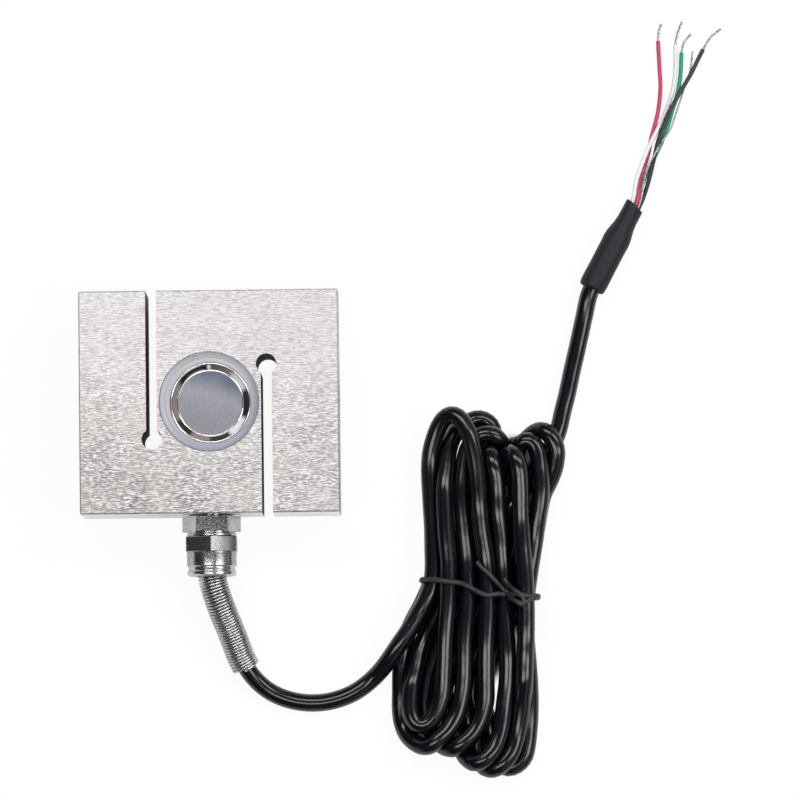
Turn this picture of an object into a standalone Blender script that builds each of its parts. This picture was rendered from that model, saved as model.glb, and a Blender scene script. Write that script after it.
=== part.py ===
# S-type load cell lying on its back face: a steel block cut to an S by two slots,
# dished cups potted over a gauged bore, a cable gland with a coil spring guard, and
# a hanked cable that ends in four stripped cores and a bare drain wire.
# Metres. X is the loading axis, Z the bore's axis, and the cable leaves towards -Y.

import math

import bmesh
import bpy
from mathutils import Vector

mm = 0.001

# Block
block_length = 59.4 * mm
block_width = 51.1 * mm
block_thickness = 19.0 * mm
edge_break = 0.3 * mm
bore_diameter = 22.5 * mm
bore_chamfer = 0.25 * mm
slot_width = 2.5 * mm
web_thickness = 0.65 * mm
relief_diameter = 4.7 * mm
relief_offset = 8.5 * mm
load_hole_diameter = 10.2 * mm
load_hole_depth = 10.5 * mm
load_hole_chamfer = 0.9 * mm
drill_point_slope = math.tan(math.radians(31))

# Clearances between pieces
fit_gap = 0.3 * mm
close_gap = 0.1 * mm

# Cups and their potting
cup_diameter = 18.5 * mm
cup_wall_width = 1.9 * mm
cup_depth = 1.6 * mm
cup_skirt = 3.6 * mm
cup_sheet = 0.5 * mm
cup_recess = 0.3 * mm
front_cup_shift = 0.3 * mm
potting_depth = 2.6 * mm
potting_sag = 0.25 * mm

# Gauges, terminal board and inner leads
gauge_angle = 21.0
gauge_length = 3.4 * mm
gauge_height = 5.0 * mm
gauge_thickness = 0.2 * mm
board_length = 10.0 * mm
board_width = 7.0 * mm
board_thickness = 1.0 * mm
pad_size = 1.2 * mm
pad_height = 0.3 * mm
lead_diameter = 0.4 * mm

# Cable
cable_diameter = 4.1 * mm
core_diameter = 1.0 * mm
conductor_diameter = 0.48 * mm
drain_diameter = 0.42 * mm
jacket_inside_block = 7.0 * mm

# Gland
gland_hex_flats = 11.7 * mm
gland_hex_length = 3.6 * mm
gland_collar_diameter = 11.4 * mm
gland_collar_length = 0.65 * mm
gland_groove_diameter = 10.2 * mm
gland_groove_length = 0.3 * mm
gland_thread_diameter = 7.4 * mm
gland_thread_length = 5.6 * mm
gland_spigot_diameter = 8.4 * mm
gland_spigot_length = 3.6 * mm
ring_seat_depth = 1.4 * mm
ring_section = 1.1 * mm
nut_hex_flats = 11.6 * mm
nut_hex_length = 3.5 * mm
nut_barrel_diameter = 11.4 * mm
nut_barrel_length = 3.4 * mm
nut_groove_depth = 0.35 * mm
nut_groove_length = 0.95 * mm
nut_lip_length = 1.25 * mm
nut_shoulder_length = 1.5 * mm
seal_length = 1.6 * mm
guard_seat_depth = 2.2 * mm

# Spring guard
guard_diameter = 6.6 * mm
guard_wire_diameter = 0.52 * mm
guard_pitch = 0.665 * mm
guard_length = 25.0 * mm
guard_points_per_turn = 10

# Hank, tie and sleeve
hank_height = 9.0 * mm
hank_rounding = 2.4 * mm
tie_diameter = 1.2 * mm
sleeve_length = 21.8 * mm
sleeve_diameter = 6.3 * mm
sleeve_end_diameter = 4.6 * mm
sleeve_wall = 0.4 * mm
sleeve_taper_start = 0.60
sleeve_taper_end = 0.78
sleeve_grip = 13.0 * mm

# Places of the cores in the sleeve's mouth, in core diameters to the right of its axis and above it
red_seat = (0.25, 0.05)
white_seat = (-0.8, 0.55)
green_seat = (0.05, -1.15)
black_seat = (1.15, -0.6)
drain_seat = (0.95, 0.75)
core_run_inside = 5.5 * mm

# Sizes that follow from the ones above
bore_radius = bore_diameter / 2
slot_offset = bore_radius + web_thickness + slot_width / 2
mid_height = block_thickness / 2
cup_radius = cup_diameter / 2
cup_floor_radius = cup_radius - cup_wall_width
cable_radius = cable_diameter / 2
passage_radius = cable_radius + fit_gap
thread_hole_radius = gland_thread_diameter / 2 + fit_gap
ring_seat_radius = thread_hole_radius + ring_section + close_gap
gland_start = fit_gap
collar_end = gland_start + gland_hex_length + gland_groove_length + gland_collar_length
nut_start = collar_end + close_gap
nut_cavity_radius = gland_spigot_diameter / 2 + fit_gap
spigot_end = collar_end + gland_spigot_length
shoulder_start = spigot_end + seal_length + 2 * close_gap
nut_length = nut_hex_length + nut_barrel_length + nut_groove_length + nut_lip_length
nut_end = nut_start + nut_length
guard_radius = guard_diameter / 2
guard_start = nut_end - guard_seat_depth + fit_gap + guard_wire_diameter / 2

# Where the cable leaves the gland; everything on the cord is laid from here
exit_point = Vector((0.0, -block_width / 2 - nut_end, mid_height))
floor_start = Vector((exit_point.x, exit_point.y, 0.0))

# The cord's own route on the floor, in millimetres from the cable's exit
guard_route = [(1.45, -5.5, 0.86), (4.1, -12.4, 0.47), (7.8, -21.3, 0.21)]
guard_end_height = 1.9
lead_in_route = [(12.6, -26.2, 2.2), (18.9, -28.7, 2.06), (25.6, -28.9, 2.06), (31.8, -27.0, 2.06),
                 (36.6, -23.6, 2.1), (40.3, -20.0, 2.15)]
hank_outline = [(55.3, 39.1), (49.6, 33.0), (48.3, 21.9), (48.4, 8.0), (47.6, -2.0), (45.6, -12.0),
                (42.3, -20.5), (40.8, -29.0), (44.4, -39.0), (55.2, -43.2), (66.6, -46.9),
                (73.6, -39.5), (74.6, -24.0), (74.4, -5.5), (77.3, 14.5), (81.4, 26.5),
                (81.3, 32.4), (77.4, 34.9), (66.4, 33.6)]
lead_out_route = [(80.77, 34.4, 3.6), (81.8, 39.0, 3.1), (82.8, 43.6, 2.4), (83.9, 48.9, 2.1), (85.9, 57.5, 2.3), (87.6, 64.6, 3.1)]
sleeve_start = (88.0, 65.7, 3.2)
sleeve_direction = Vector((10.3, 19.2, 0.0)).normalized()
tie_route = [(60.2, 2.6, 10.2), (62.6, 0.3, 10.2), (65.0, -2.2, 10.3), (67.2, -4.4, 10.9), (69.6, -5.4, 11.1),
             (72.2, -5.7, 10.3), (74.3, -5.9, 9.1), (75.6, -6.0, 6.5), (75.6, -6.0, 2.8), (75.1, -6.0, 1.5),
             (73.9, -5.8, 0.8), (70.5, -5.2, 0.75), (53.0, -2.2, 0.75), (48.1, -1.3, 0.8), (46.9, -1.1, 1.5),
             (46.3, -1.1, 2.8), (46.3, -1.1, 6.5), (47.6, -1.2, 9.1), (50.2, -1.6, 10.1), (54.6, -2.5, 9.95),
             (58.3, -4.1, 9.95), (61.4, -5.7, 9.95), (64.6, -6.4, 9.95), (67.6, -6.6, 9.95), (70.6, -7.5, 9.95),
             (72.8, -8.5, 9.6)]
red_route = [(99.3, 86.6, 3.05), (99.35, 89.7, 2.3), (100.7, 93.7, 1.35), (101.9, 97.8, 0.75), (102.5, 100.9, 0.58),
             (103.2, 103.3, 0.55), (104.1, 106.7, 0.55), (104.8, 112.6, 0.55), (104.6, 117.8, 0.55), (104.4, 123.4, 0.55)]
white_route = [(98.1, 86.9, 3.7), (98.7, 90.3, 3.4), (100.1, 94.4, 2.65), (101.8, 98.5, 1.9), (103.4, 101.6, 1.55),
               (105.2, 105.3, 0.82), (106.6, 108.7, 0.6), (107.7, 112.1, 0.55), (108.3, 116.5, 0.55), (108.4, 122.5, 0.55)]
green_route = [(98.9, 86.5, 1.85), (101.1, 92.0, 0.9), (105.2, 100.5, 0.58), (106.4, 103.6, 0.55),
               (107.5, 107.3, 0.55), (108.6, 110.7, 0.55), (109.45, 115.2, 0.55), (109.8, 120.6, 0.55)]
black_route = [(100.45, 86.9, 2.35), (101.7, 90.7, 2.2), (103.1, 96.1, 1.95), (104.2, 100.5, 1.88), (106.1, 105.3, 1.9),
               (107.8, 108.7, 1.8), (109.8, 112.1, 1.55), (112.0, 115.8, 1.2), (113.7, 119.2, 0.75), (114.8, 121.3, 0.6)]
drain_route = [(100.0, 87.0, 3.9), (100.6, 90.7, 3.5), (101.7, 94.2, 3.1), (103.1, 96.7, 2.95), (104.0, 98.2, 2.75),
               (105.1, 99.9, 1.85), (107.0, 102.9, 1.1), (108.5, 107.0, 0.45), (109.5, 109.9, 0.3), (110.5, 112.8, 0.25),
               (111.7, 116.2, 0.25), (112.4, 120.9, 0.3)]
red_tip_route = [(104.4, 123.5, 0.55), (104.6, 125.6, 0.5), (105.2, 127.4, 0.4)]
white_tip_route = [(108.4, 122.6, 0.55), (109.0, 125.3, 0.55), (110.0, 127.8, 0.6)]
green_tip_route = [(109.8, 120.7, 0.55), (110.5, 123.1, 0.5), (112.1, 125.0, 0.4)]
black_tip_route = [(114.9, 121.45, 0.6), (116.6, 124.1, 0.5), (119.0, 126.1, 0.4)]

# Facets of the round pieces
bore_facets = 48
cup_facets = 32
hole_facets = 20
gland_facets = 24


def clear_scene():
    for piece in list(bpy.data.objects):
        bpy.data.objects.remove(piece, do_unlink=True)


def new_collection(name):
    group = bpy.data.collections.new(name)
    bpy.context.scene.collection.children.link(group)
    return group


def material(name, colour, roughness, metallic=0.0):
    finish = bpy.data.materials.new(name)
    finish.use_nodes = True
    shader = finish.node_tree.nodes["Principled BSDF"]
    shader.inputs["Base Color"].default_value = (*colour, 1.0)
    shader.inputs["Roughness"].default_value = roughness
    shader.inputs["Metallic"].default_value = metallic
    finish.diffuse_color = (*colour, 1.0)
    return finish


def add_piece(name, data, finish, parent):
    piece = bpy.data.objects.new(name, data)
    piece.data.materials.append(finish)
    piece.parent = parent
    parts.objects.link(piece)
    return piece


def add_cutter(name, mesh, parent=None):
    cutter = bpy.data.objects.new(name, mesh)
    cutter.parent = parent
    cutter.hide_render = True
    cutter.display_type = "WIRE"
    cutters.objects.link(cutter)
    return cutter


def cut(piece, cutter, operation="DIFFERENCE"):
    boolean = piece.modifiers.new(cutter.name, "BOOLEAN")
    boolean.operation = operation
    boolean.object = cutter


def box_mesh(name, size, centre=(0.0, 0.0, 0.0)):
    # A cube primitive brought to size, with its place in the mesh
    mesh = bpy.data.meshes.new(name)
    bm = bmesh.new()
    bmesh.ops.create_cube(bm, size=1.0)
    bmesh.ops.scale(bm, vec=size, verts=bm.verts)
    bmesh.ops.translate(bm, vec=centre, verts=bm.verts)
    bm.to_mesh(mesh)
    bm.free()
    return mesh


def rod_mesh(name, radius, length, facets):
    # A cylinder along Z, centred on the origin
    mesh = bpy.data.meshes.new(name)
    bm = bmesh.new()
    bmesh.ops.create_cone(bm, cap_ends=True, segments=facets, radius1=radius, radius2=radius, depth=length)
    bm.to_mesh(mesh)
    bm.free()
    return mesh


def profile_mesh(name, profile):
    # A chain of (radius, height) points; a profile that is off the axis is closed into a ring
    mesh = bpy.data.meshes.new(name)
    edges = [(i, i + 1) for i in range(len(profile) - 1)]
    if profile[0][0] > 0.0:
        edges.append((len(profile) - 1, 0))
    mesh.from_pydata([(radius, 0.0, height) for radius, height in profile], edges, [])
    return mesh


def turn(piece, facets):
    screw = piece.modifiers.new("turn", "SCREW")
    screw.axis = "Z"
    screw.steps = facets
    screw.render_steps = facets
    screw.use_merge_vertices = True
    screw.merge_threshold = 0.000001
    return piece


def turned(name, profile, facets, finish, parent):
    return turn(add_piece(name, profile_mesh(name, profile), finish, parent), facets)


def turned_cutter(name, profile, facets, parent=None):
    return turn(add_cutter(name, profile_mesh(name, profile), parent), facets)


def smooth_path(points, spacing):
    # A centripetal Catmull-Rom curve through the points, read at even steps
    ends = [2 * points[0] - points[1], *points, 2 * points[-1] - points[-2]]
    dense = []
    for p0, p1, p2, p3 in zip(ends, ends[1:], ends[2:], ends[3:]):
        t1 = (p1 - p0).length ** 0.5
        t2 = t1 + (p2 - p1).length ** 0.5
        t3 = t2 + (p3 - p2).length ** 0.5
        for step in range(16):
            t = t1 + (t2 - t1) * step / 16
            a1 = p0.lerp(p1, t / t1)
            a2 = p1.lerp(p2, (t - t1) / (t2 - t1))
            a3 = p2.lerp(p3, (t - t2) / (t3 - t2))
            b1 = a1.lerp(a2, t / t2)
            b2 = a2.lerp(a3, (t - t1) / (t3 - t1))
            dense.append(b1.lerp(b2, (t - t1) / (t2 - t1)))
    dense.append(points[-1])
    return even_steps(dense, spacing)


def path_length(points):
    return sum((b - a).length for a, b in zip(points, points[1:]))


def even_steps(points, spacing):
    count = max(2, round(path_length(points) / spacing))
    step = path_length(points) / count
    result = [points[0]]
    travelled = 0.0
    for a, b in zip(points, points[1:]):
        run = (b - a).length
        while len(result) < count and travelled + run >= step * len(result):
            result.append(a.lerp(b, (step * len(result) - travelled) / run))
        travelled += run
    return [*result, points[-1]]


def part_of_path(points, start, length):
    # The stretch of a fine path between two distances from its beginning
    result = []
    travelled = 0.0
    for a, b in zip(points, points[1:]):
        if start <= travelled <= start + length:
            result.append(a)
        travelled += (b - a).length
    return result


def on_floor(route):
    # Route points in millimetres from the cable's exit, as places on the floor
    return [floor_start + Vector(point) * mm for point in route]


def tube(name, route, diameter, finish, resolution=2):
    curve = bpy.data.curves.new(name, "CURVE")
    curve.dimensions = "3D"
    curve.bevel_depth = diameter / 2
    curve.bevel_resolution = resolution
    curve.use_fill_caps = True
    spline = curve.splines.new("POLY")
    spline.points.add(len(route) - 1)
    for point, place in zip(spline.points, route):
        point.co = (*place, 1.0)
    return add_piece(name, curve, finish, None)


def make_block():
    size = (block_length, block_width, block_thickness)
    mesh = box_mesh("body_block", size, (0.0, 0.0, mid_height))
    block = add_piece("body_block", mesh, nickel_plate, origin)
    bevel = block.modifiers.new("edge_break", "BEVEL")
    bevel.width = edge_break
    bevel.segments = 1

    top = block_thickness
    flare = bore_radius + bore_chamfer + mm
    bore = turned_cutter("bore", [(0.0, top + mm), (flare, top + mm), (bore_radius, top - bore_chamfer),
                                  (bore_radius, bore_chamfer), (flare, -mm), (0.0, -mm)], bore_facets, origin)
    cut(block, bore)

    # The slots and their relief holes are the same cut, turned half round about the bore
    slot_run = block_width / 2 + relief_offset + mm
    for side, name in ((1, "upper"), (-1, "lower")):
        centre = (-side * slot_offset, side * (slot_run / 2 - relief_offset), mid_height)
        slot = box_mesh(name + "_slot", (slot_width, slot_run, 2 * block_thickness), centre)
        cut(block, add_cutter(name + "_slot", slot, origin))
        relief = rod_mesh(name + "_relief", relief_diameter / 2, 2 * block_thickness, hole_facets)
        relief = add_cutter(name + "_relief", relief, origin)
        relief.location = (-side * slot_offset, -side * relief_offset, mid_height)
        cut(block, relief)

    # Tapping-size load holes, blind, on the loading axis
    radius = load_hole_diameter / 2
    mouth = radius + load_hole_chamfer + mm
    tip = load_hole_depth + radius * drill_point_slope
    profile = [(0.0, mm), (mouth, mm), (radius, -load_hole_chamfer), (radius, -load_hole_depth), (0.0, -tip)]
    for side, name in ((1, "right"), (-1, "left")):
        hole = turned_cutter(name + "_load_hole", profile, hole_facets, origin)
        hole.location = (side * block_length / 2, 0.0, mid_height)
        hole.rotation_euler = (0.0, side * math.pi / 2, 0.0)
        cut(block, hole)

    # Gland thread, its sealing ring's seat and the cable's passage into the bore
    passage_end = -(block_width / 2 - bore_radius / 2)
    thread_end = -(gland_thread_length + fit_gap)
    profile = [(0.0, mm), (ring_seat_radius, mm), (ring_seat_radius, -ring_seat_depth),
               (thread_hole_radius, -ring_seat_depth), (thread_hole_radius, thread_end),
               (passage_radius, thread_end), (passage_radius, passage_end), (0.0, passage_end)]
    cut(block, turned_cutter("gland_hole", profile, hole_facets, gland_axis))


def make_cup(name, potting_name, parent, shift):
    # A drawn cup: flat floor, conical wall, rolled lip and a skirt that the potting holds
    lip = -cup_recess
    floor = lip - cup_depth
    skirt_end = lip - cup_skirt
    roll = cup_sheet / 2
    inner = cup_radius - cup_sheet
    profile = [(0.0, floor), (cup_floor_radius, floor), (cup_radius - roll, lip), (cup_radius, lip - roll),
               (cup_radius, skirt_end), (inner, skirt_end), (inner, lip - 1.4 * cup_sheet),
               (cup_floor_radius - roll, floor - cup_sheet), (0.0, floor - cup_sheet)]
    turned(name, profile, cup_facets, polished_steel, parent)

    # The potting ring fills the bore round the cup, its face sagging a little
    outer = bore_radius - close_gap
    middle = (bore_radius + cup_radius) / 2
    bottom = lip - potting_depth
    profile = [(0.0, lip - potting_sag), (middle, lip - potting_sag), (outer, lip), (outer, bottom), (0.0, bottom)]
    potting = turned(potting_name, profile, bore_facets, silicone, parent.parent)
    potting.location = parent.location - shift
    potting.rotation_euler = parent.rotation_euler
    hole = rod_mesh(potting_name + "_hole", cup_radius + close_gap, block_thickness, bore_facets)
    cut(potting, add_cutter(potting_name + "_hole", hole, parent))


def make_cups():
    shift = Vector((front_cup_shift, -front_cup_shift, 0.0))
    front = empty("front_cup_axis", origin, Vector((0.0, 0.0, block_thickness)) + shift)
    back = empty("back_cup_axis", origin, Vector((0.0, 0.0, 0.0)), (math.pi, 0.0, 0.0))
    make_cup("front_cup", "front_potting_ring", front, shift)
    make_cup("back_cup", "back_potting_ring", back, Vector((0.0, 0.0, 0.0)))


def make_gauges():
    # Foil patches wrapped on to the bore's wall, two at each thin web
    radius = bore_radius - close_gap
    for number, centre in enumerate((gauge_angle, 180 - gauge_angle, 180 + gauge_angle, -gauge_angle), 1):
        name = f"strain_gauge_{number}"
        mesh = bpy.data.meshes.new(name)
        bm = bmesh.new()
        bmesh.ops.create_grid(bm, x_segments=4, y_segments=1, size=0.5)
        for vert in bm.verts:
            angle = vert.co.x * gauge_length / radius
            height = vert.co.y * gauge_height
            vert.co = (radius * math.cos(angle), radius * math.sin(angle), height)
        bm.to_mesh(mesh)
        bm.free()
        gauge = add_piece(name, mesh, gauge_foil, origin)
        gauge.location = (0.0, 0.0, mid_height)
        gauge.rotation_euler = (0.0, 0.0, math.radians(centre))
        foil = gauge.modifiers.new("foil", "SOLIDIFY")
        foil.thickness = gauge_thickness
        foil.offset = -1.0


def pad_places():
    # Eight solder pads in two rows, gauges along the far row and cable cores along the near one
    pitch = board_length / 4
    columns = [pitch * (column - 1.5) for column in range(4)]
    row = board_width / 2 - pad_size
    return [(x, row) for x in columns], [(x, -row) for x in columns]


def make_board_and_leads():
    back_floor = cup_recess + cup_depth + cup_sheet
    base = back_floor + close_gap
    board_top = base + board_thickness
    size = (board_length, board_width, board_thickness)
    mesh = box_mesh("terminal_board", size, (0.0, 0.0, base + board_thickness / 2))
    board = add_piece("terminal_board", mesh, board_laminate, origin)
    far_row, near_row = pad_places()
    for number, (x, y) in enumerate([*far_row, *near_row]):
        name = f"pad_{number}"
        pad = box_mesh(name, (pad_size, pad_size, 2 * pad_height), (x, y, board_top))
        cut(board, add_cutter(name, pad, origin), "UNION")

    # One lead from each gauge to its pad
    foot = board_top + pad_height + lead_diameter / 2 + close_gap
    reach = bore_radius - close_gap - gauge_thickness - lead_diameter / 2 - close_gap
    order = (gauge_angle, 180 - gauge_angle, 180 + gauge_angle, -gauge_angle)
    pads = (far_row[3], far_row[0], near_row[0], near_row[3])
    for number, (angle, (x, y)) in enumerate(zip(order, pads), 1):
        wall = Vector((reach * math.cos(math.radians(angle)), reach * math.sin(math.radians(angle)), mid_height))
        pad = Vector((x, y, foot))
        bend = wall.lerp(pad, 0.45) + Vector((0.0, 0.0, 0.12 * mid_height))
        tube(f"gauge_lead_{number}", smooth_path([wall, bend, pad], 2.4 * mm), lead_diameter, lead_enamel, 1)

    # The cable's four cores run from its stripped jacket to the board
    start = -block_width / 2 + jacket_inside_block + close_gap
    spread = cable_radius / 3
    pads = (far_row[1], far_row[2], near_row[1], near_row[2])
    for number, (x, y) in enumerate(pads, 1):
        side = 1 if number % 2 == 0 else -1
        level = mid_height + (spread if number < 3 else -spread)
        inside = Vector((side * spread, start, level))
        mouth = Vector((side * spread, -0.75 * bore_radius, level))
        pad = Vector((x, y, foot))
        over = Vector((x, y - 2.0 * mm, foot + 0.45 * (level - foot)))
        route = smooth_path([inside, mouth, over, pad], 2.6 * mm)
        tube(f"cable_core_lead_{number}", route, lead_diameter, lead_enamel, 1)


def hex_cutter(name, flats, start, length, turn_angle):
    # A hexagonal bar, joined to the turned piece that it sits on
    mesh = rod_mesh(name, flats / math.sqrt(3), length, 6)
    bar = add_cutter(name, mesh, gland_axis)
    bar.location = (0.0, 0.0, start + length / 2)
    bar.rotation_euler = (0.0, 0.0, math.radians(turn_angle))
    bevel = bar.modifiers.new("edge_break", "BEVEL")
    bevel.width = 0.5 * edge_break
    bevel.segments = 1
    return bar


def make_gland():
    # The sealing ring in its seat under the first hexagon
    middle = -(ring_seat_depth - close_gap - ring_section / 2)
    seal_radius = thread_hole_radius + ring_section / 2
    profile = [(seal_radius + ring_section / 2 * math.cos(math.radians(angle)),
                middle + ring_section / 2 * math.sin(math.radians(angle))) for angle in range(90, -270, -60)]
    turned("gland_sealing_ring", profile, hole_facets, rubber, gland_axis)

    # Gland body: thread, hexagon with a flat to the front, grooved collar and spigot
    hex_end = gland_start + gland_hex_length
    groove = gland_groove_diameter / 2
    collar = gland_collar_diameter / 2
    spigot = gland_spigot_diameter / 2
    thread = gland_thread_diameter / 2
    profile = [(0.0, spigot_end), (spigot, spigot_end), (spigot, collar_end), (collar, collar_end),
               (collar, hex_end + gland_groove_length), (groove, hex_end + gland_groove_length),
               (groove, gland_start + gland_hex_length / 2), (thread, gland_start + gland_hex_length / 2),
               (thread, -gland_thread_length), (0.0, -gland_thread_length)]
    body = turned("gland_body", profile, gland_facets, nickel_brass, gland_axis)
    cut(body, hex_cutter("gland_hexagon", gland_hex_flats, gland_start, gland_hex_length, 30), "UNION")
    bore = rod_mesh("gland_bore", passage_radius, 4 * spigot_end, hole_facets)
    cut(body, add_cutter("gland_bore", bore, gland_axis))

    # The nut that squeezes the seal: hexagon with a corner to the front, barrel, groove, rounded lip
    barrel = nut_barrel_diameter / 2
    groove_start = nut_start + nut_hex_length + nut_barrel_length
    groove_end = groove_start + nut_groove_length
    rounding = 0.5 * mm
    profile = [(0.0, nut_end), (barrel - rounding - close_gap, nut_end), (barrel - close_gap, nut_end - rounding),
               (barrel - close_gap, groove_end), (barrel - nut_groove_depth, groove_end),
               (barrel - nut_groove_depth, groove_start), (barrel, groove_start),
               (barrel, nut_start + nut_hex_length / 2), (groove, nut_start + nut_hex_length / 2),
               (groove, nut_start), (0.0, nut_start)]
    nut = turned("gland_nut", profile, gland_facets, nickel_brass, gland_axis)
    cut(nut, hex_cutter("nut_hexagon", nut_hex_flats, nut_start + close_gap, nut_hex_length, 0), "UNION")
    neck = passage_radius + fit_gap
    seat = guard_radius + fit_gap
    seat_start = nut_end - guard_seat_depth
    profile = [(0.0, nut_end + mm), (seat, nut_end + mm), (seat, seat_start), (neck, seat_start),
               (neck, shoulder_start), (nut_cavity_radius, shoulder_start), (nut_cavity_radius, nut_start - mm),
               (0.0, nut_start - mm)]
    cut(nut, turned_cutter("nut_cavity", profile, hole_facets, gland_axis))

    # The rubber bush between the spigot and the nut's shoulder
    outer = nut_cavity_radius - fit_gap
    start = spigot_end + close_gap
    profile = [(outer, start + seal_length), (outer, start), (passage_radius, start),
               (passage_radius, start + seal_length)]
    turned("gland_seal", profile, hole_facets, rubber, gland_axis)


def cable_path():
    # From the stripped jacket inside the block, straight out of the gland, then down to the floor
    inner = -block_width / 2 + jacket_inside_block
    straight = [Vector((0.0, y, mid_height)) for y in (inner, -block_width / 2, exit_point.y / 2 + inner / 2)]
    straight = sorted([*straight, exit_point.copy()], key=lambda point: -point.y)
    low = guard_radius + close_gap
    drop = exit_point.z - low
    bend = [floor_start + Vector((x * mm, y * mm, low + drop * share)) for x, y, share in guard_route[:-1]]
    x, y, share = guard_route[-1]
    bend.append(floor_start + Vector((x * mm, y * mm, low + close_gap)))
    return [*straight, *bend, *on_floor(lead_in_route)]


def make_spring_guard(path):
    # A close coil wound along the cable's own curve, from its seat in the nut
    fine = smooth_path(path, 0.1 * mm)
    start = block_width / 2 + guard_start - abs(path[0].y)
    axis = part_of_path(fine, start, guard_length)
    step = guard_pitch / guard_points_per_turn
    axis = even_steps(axis, step)
    coil_radius = guard_radius - guard_wire_diameter / 2
    coil = []
    across = Vector((1.0, 0.0, 0.0))
    for number, (place, ahead) in enumerate(zip(axis, axis[1:])):
        tangent = (ahead - place).normalized()
        across = (across - across.dot(tangent) * tangent).normalized()
        upward = tangent.cross(across)
        angle = 2 * math.pi * number / guard_points_per_turn
        coil.append(place + coil_radius * (math.cos(angle) * across + math.sin(angle) * upward))
    tube("spring_guard", coil, guard_wire_diameter, spring_steel, 0)


def make_hank():
    # One closed solid of the hank's outer shape, grooved below for the tie
    curve = bpy.data.curves.new("cable_hank", "CURVE")
    curve.dimensions = "2D"
    curve.fill_mode = "BOTH"
    curve.extrude = hank_height / 2 - hank_rounding
    curve.bevel_depth = hank_rounding
    curve.bevel_resolution = 1
    curve.offset = -hank_rounding
    curve.resolution_u = 2
    spline = curve.splines.new("BEZIER")
    spline.bezier_points.add(len(hank_outline) - 1)
    spline.use_cyclic_u = True
    for point, (x, y) in zip(spline.bezier_points, hank_outline):
        point.co = (floor_start.x + x * mm, floor_start.y + y * mm, hank_height / 2)
        point.handle_left_type = "AUTO"
        point.handle_right_type = "AUTO"
    mould = bpy.data.objects.new("hank_mould", curve)
    parts.objects.link(mould)
    bpy.context.view_layer.update()
    mesh = bpy.data.meshes.new_from_object(mould.evaluated_get(bpy.context.evaluated_depsgraph_get()))
    bm = bmesh.new()
    bm.from_mesh(mesh)
    bmesh.ops.remove_doubles(bm, verts=bm.verts, dist=0.000001)
    bm.to_mesh(mesh)
    bm.free()
    bpy.data.objects.remove(mould, do_unlink=True)
    mesh.name = "cable_hank"
    mesh.materials.clear()
    hank = add_piece("cable_hank", mesh, cable_jacket, None)

    # The tie's underside runs from one end of the groove to the other
    right, left = on_floor([tie_route[10], tie_route[13]])
    run = right - left
    width = tie_diameter + 2 * fit_gap
    depth = 2 * (tie_diameter + 2 * fit_gap)
    groove = add_cutter("tie_groove", box_mesh("tie_groove", (2 * run.length, width, depth)), None)
    groove.location = ((right.x + left.x) / 2, (right.y + left.y) / 2, 0.0)
    groove.rotation_euler = (0.0, 0.0, math.atan2(run.y, run.x))
    cut(hank, groove)


def make_sleeve():
    # Heat-shrunk tube, wide over the jacket and drawn in over the cores
    wide = sleeve_diameter / 2
    narrow = sleeve_end_diameter / 2
    taper_start = sleeve_length * sleeve_taper_start
    taper_end = sleeve_length * sleeve_taper_end
    profile = [(narrow, sleeve_length), (narrow, taper_end), (wide, taper_start), (wide, 0.0),
               (wide - sleeve_wall, 0.0), (wide - sleeve_wall, taper_start),
               (narrow - sleeve_wall, taper_end), (narrow - sleeve_wall, sleeve_length)]
    sleeve = turned("heat_shrink_sleeve", profile, 20, shrink_tube, None)
    sleeve.location = on_floor([sleeve_start])[0]
    sleeve.rotation_euler = sleeve_direction.to_track_quat("Z", "Y").to_euler()


def make_lead_out():
    # Out of the hank, then straight up the sleeve as far as its grip
    start = on_floor([sleeve_start])[0]
    inside = [start + sleeve_direction * sleeve_grip * share for share in (0.25, 0.65, 1.0)]
    route = smooth_path([*on_floor(lead_out_route), *inside], 2.0 * cable_diameter)
    tube("cable_lead_out", route, cable_diameter, cable_jacket)


def core_route(seat, route, spacing):
    # A core starts inside the sleeve, beside its axis, and goes straight as far as its mouth
    across = sleeve_direction.cross(Vector((0.0, 0.0, 1.0))).normalized()
    upward = across.cross(sleeve_direction)
    mouth = on_floor([sleeve_start])[0] + sleeve_direction * sleeve_length
    mouth = mouth + core_diameter * (seat[0] * across + seat[1] * upward)
    return smooth_path([mouth - sleeve_direction * core_run_inside, mouth, *on_floor(route)], spacing)


def make_wires():
    wires = (("red_wire", red_seat, red_route, core_red), ("white_wire", white_seat, white_route, core_white),
             ("green_wire", green_seat, green_route, core_green), ("black_wire", black_seat, black_route, core_black))
    for name, seat, route, finish in wires:
        tube(name, core_route(seat, route, 3.2 * core_diameter), core_diameter, finish)
    tube("drain_wire", core_route(drain_seat, drain_route, 2.6 * mm), drain_diameter, tinned_copper, 1)
    tips = (("red_wire_tip", red_tip_route), ("white_wire_tip", white_tip_route),
            ("green_wire_tip", green_tip_route), ("black_wire_tip", black_tip_route))
    for name, route in tips:
        tube(name, smooth_path(on_floor(route), 1.4 * mm), conductor_diameter, tinned_copper, 1)


def empty(name, parent, location, rotation=(0.0, 0.0, 0.0)):
    marker = bpy.data.objects.new(name, None)
    marker.empty_display_size = 0.005
    marker.parent = parent
    marker.location = location
    marker.rotation_euler = rotation
    parts.objects.link(marker)
    return marker


clear_scene()
parts = new_collection("s_type_load_cell")
cutters = new_collection("cutters")

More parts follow.
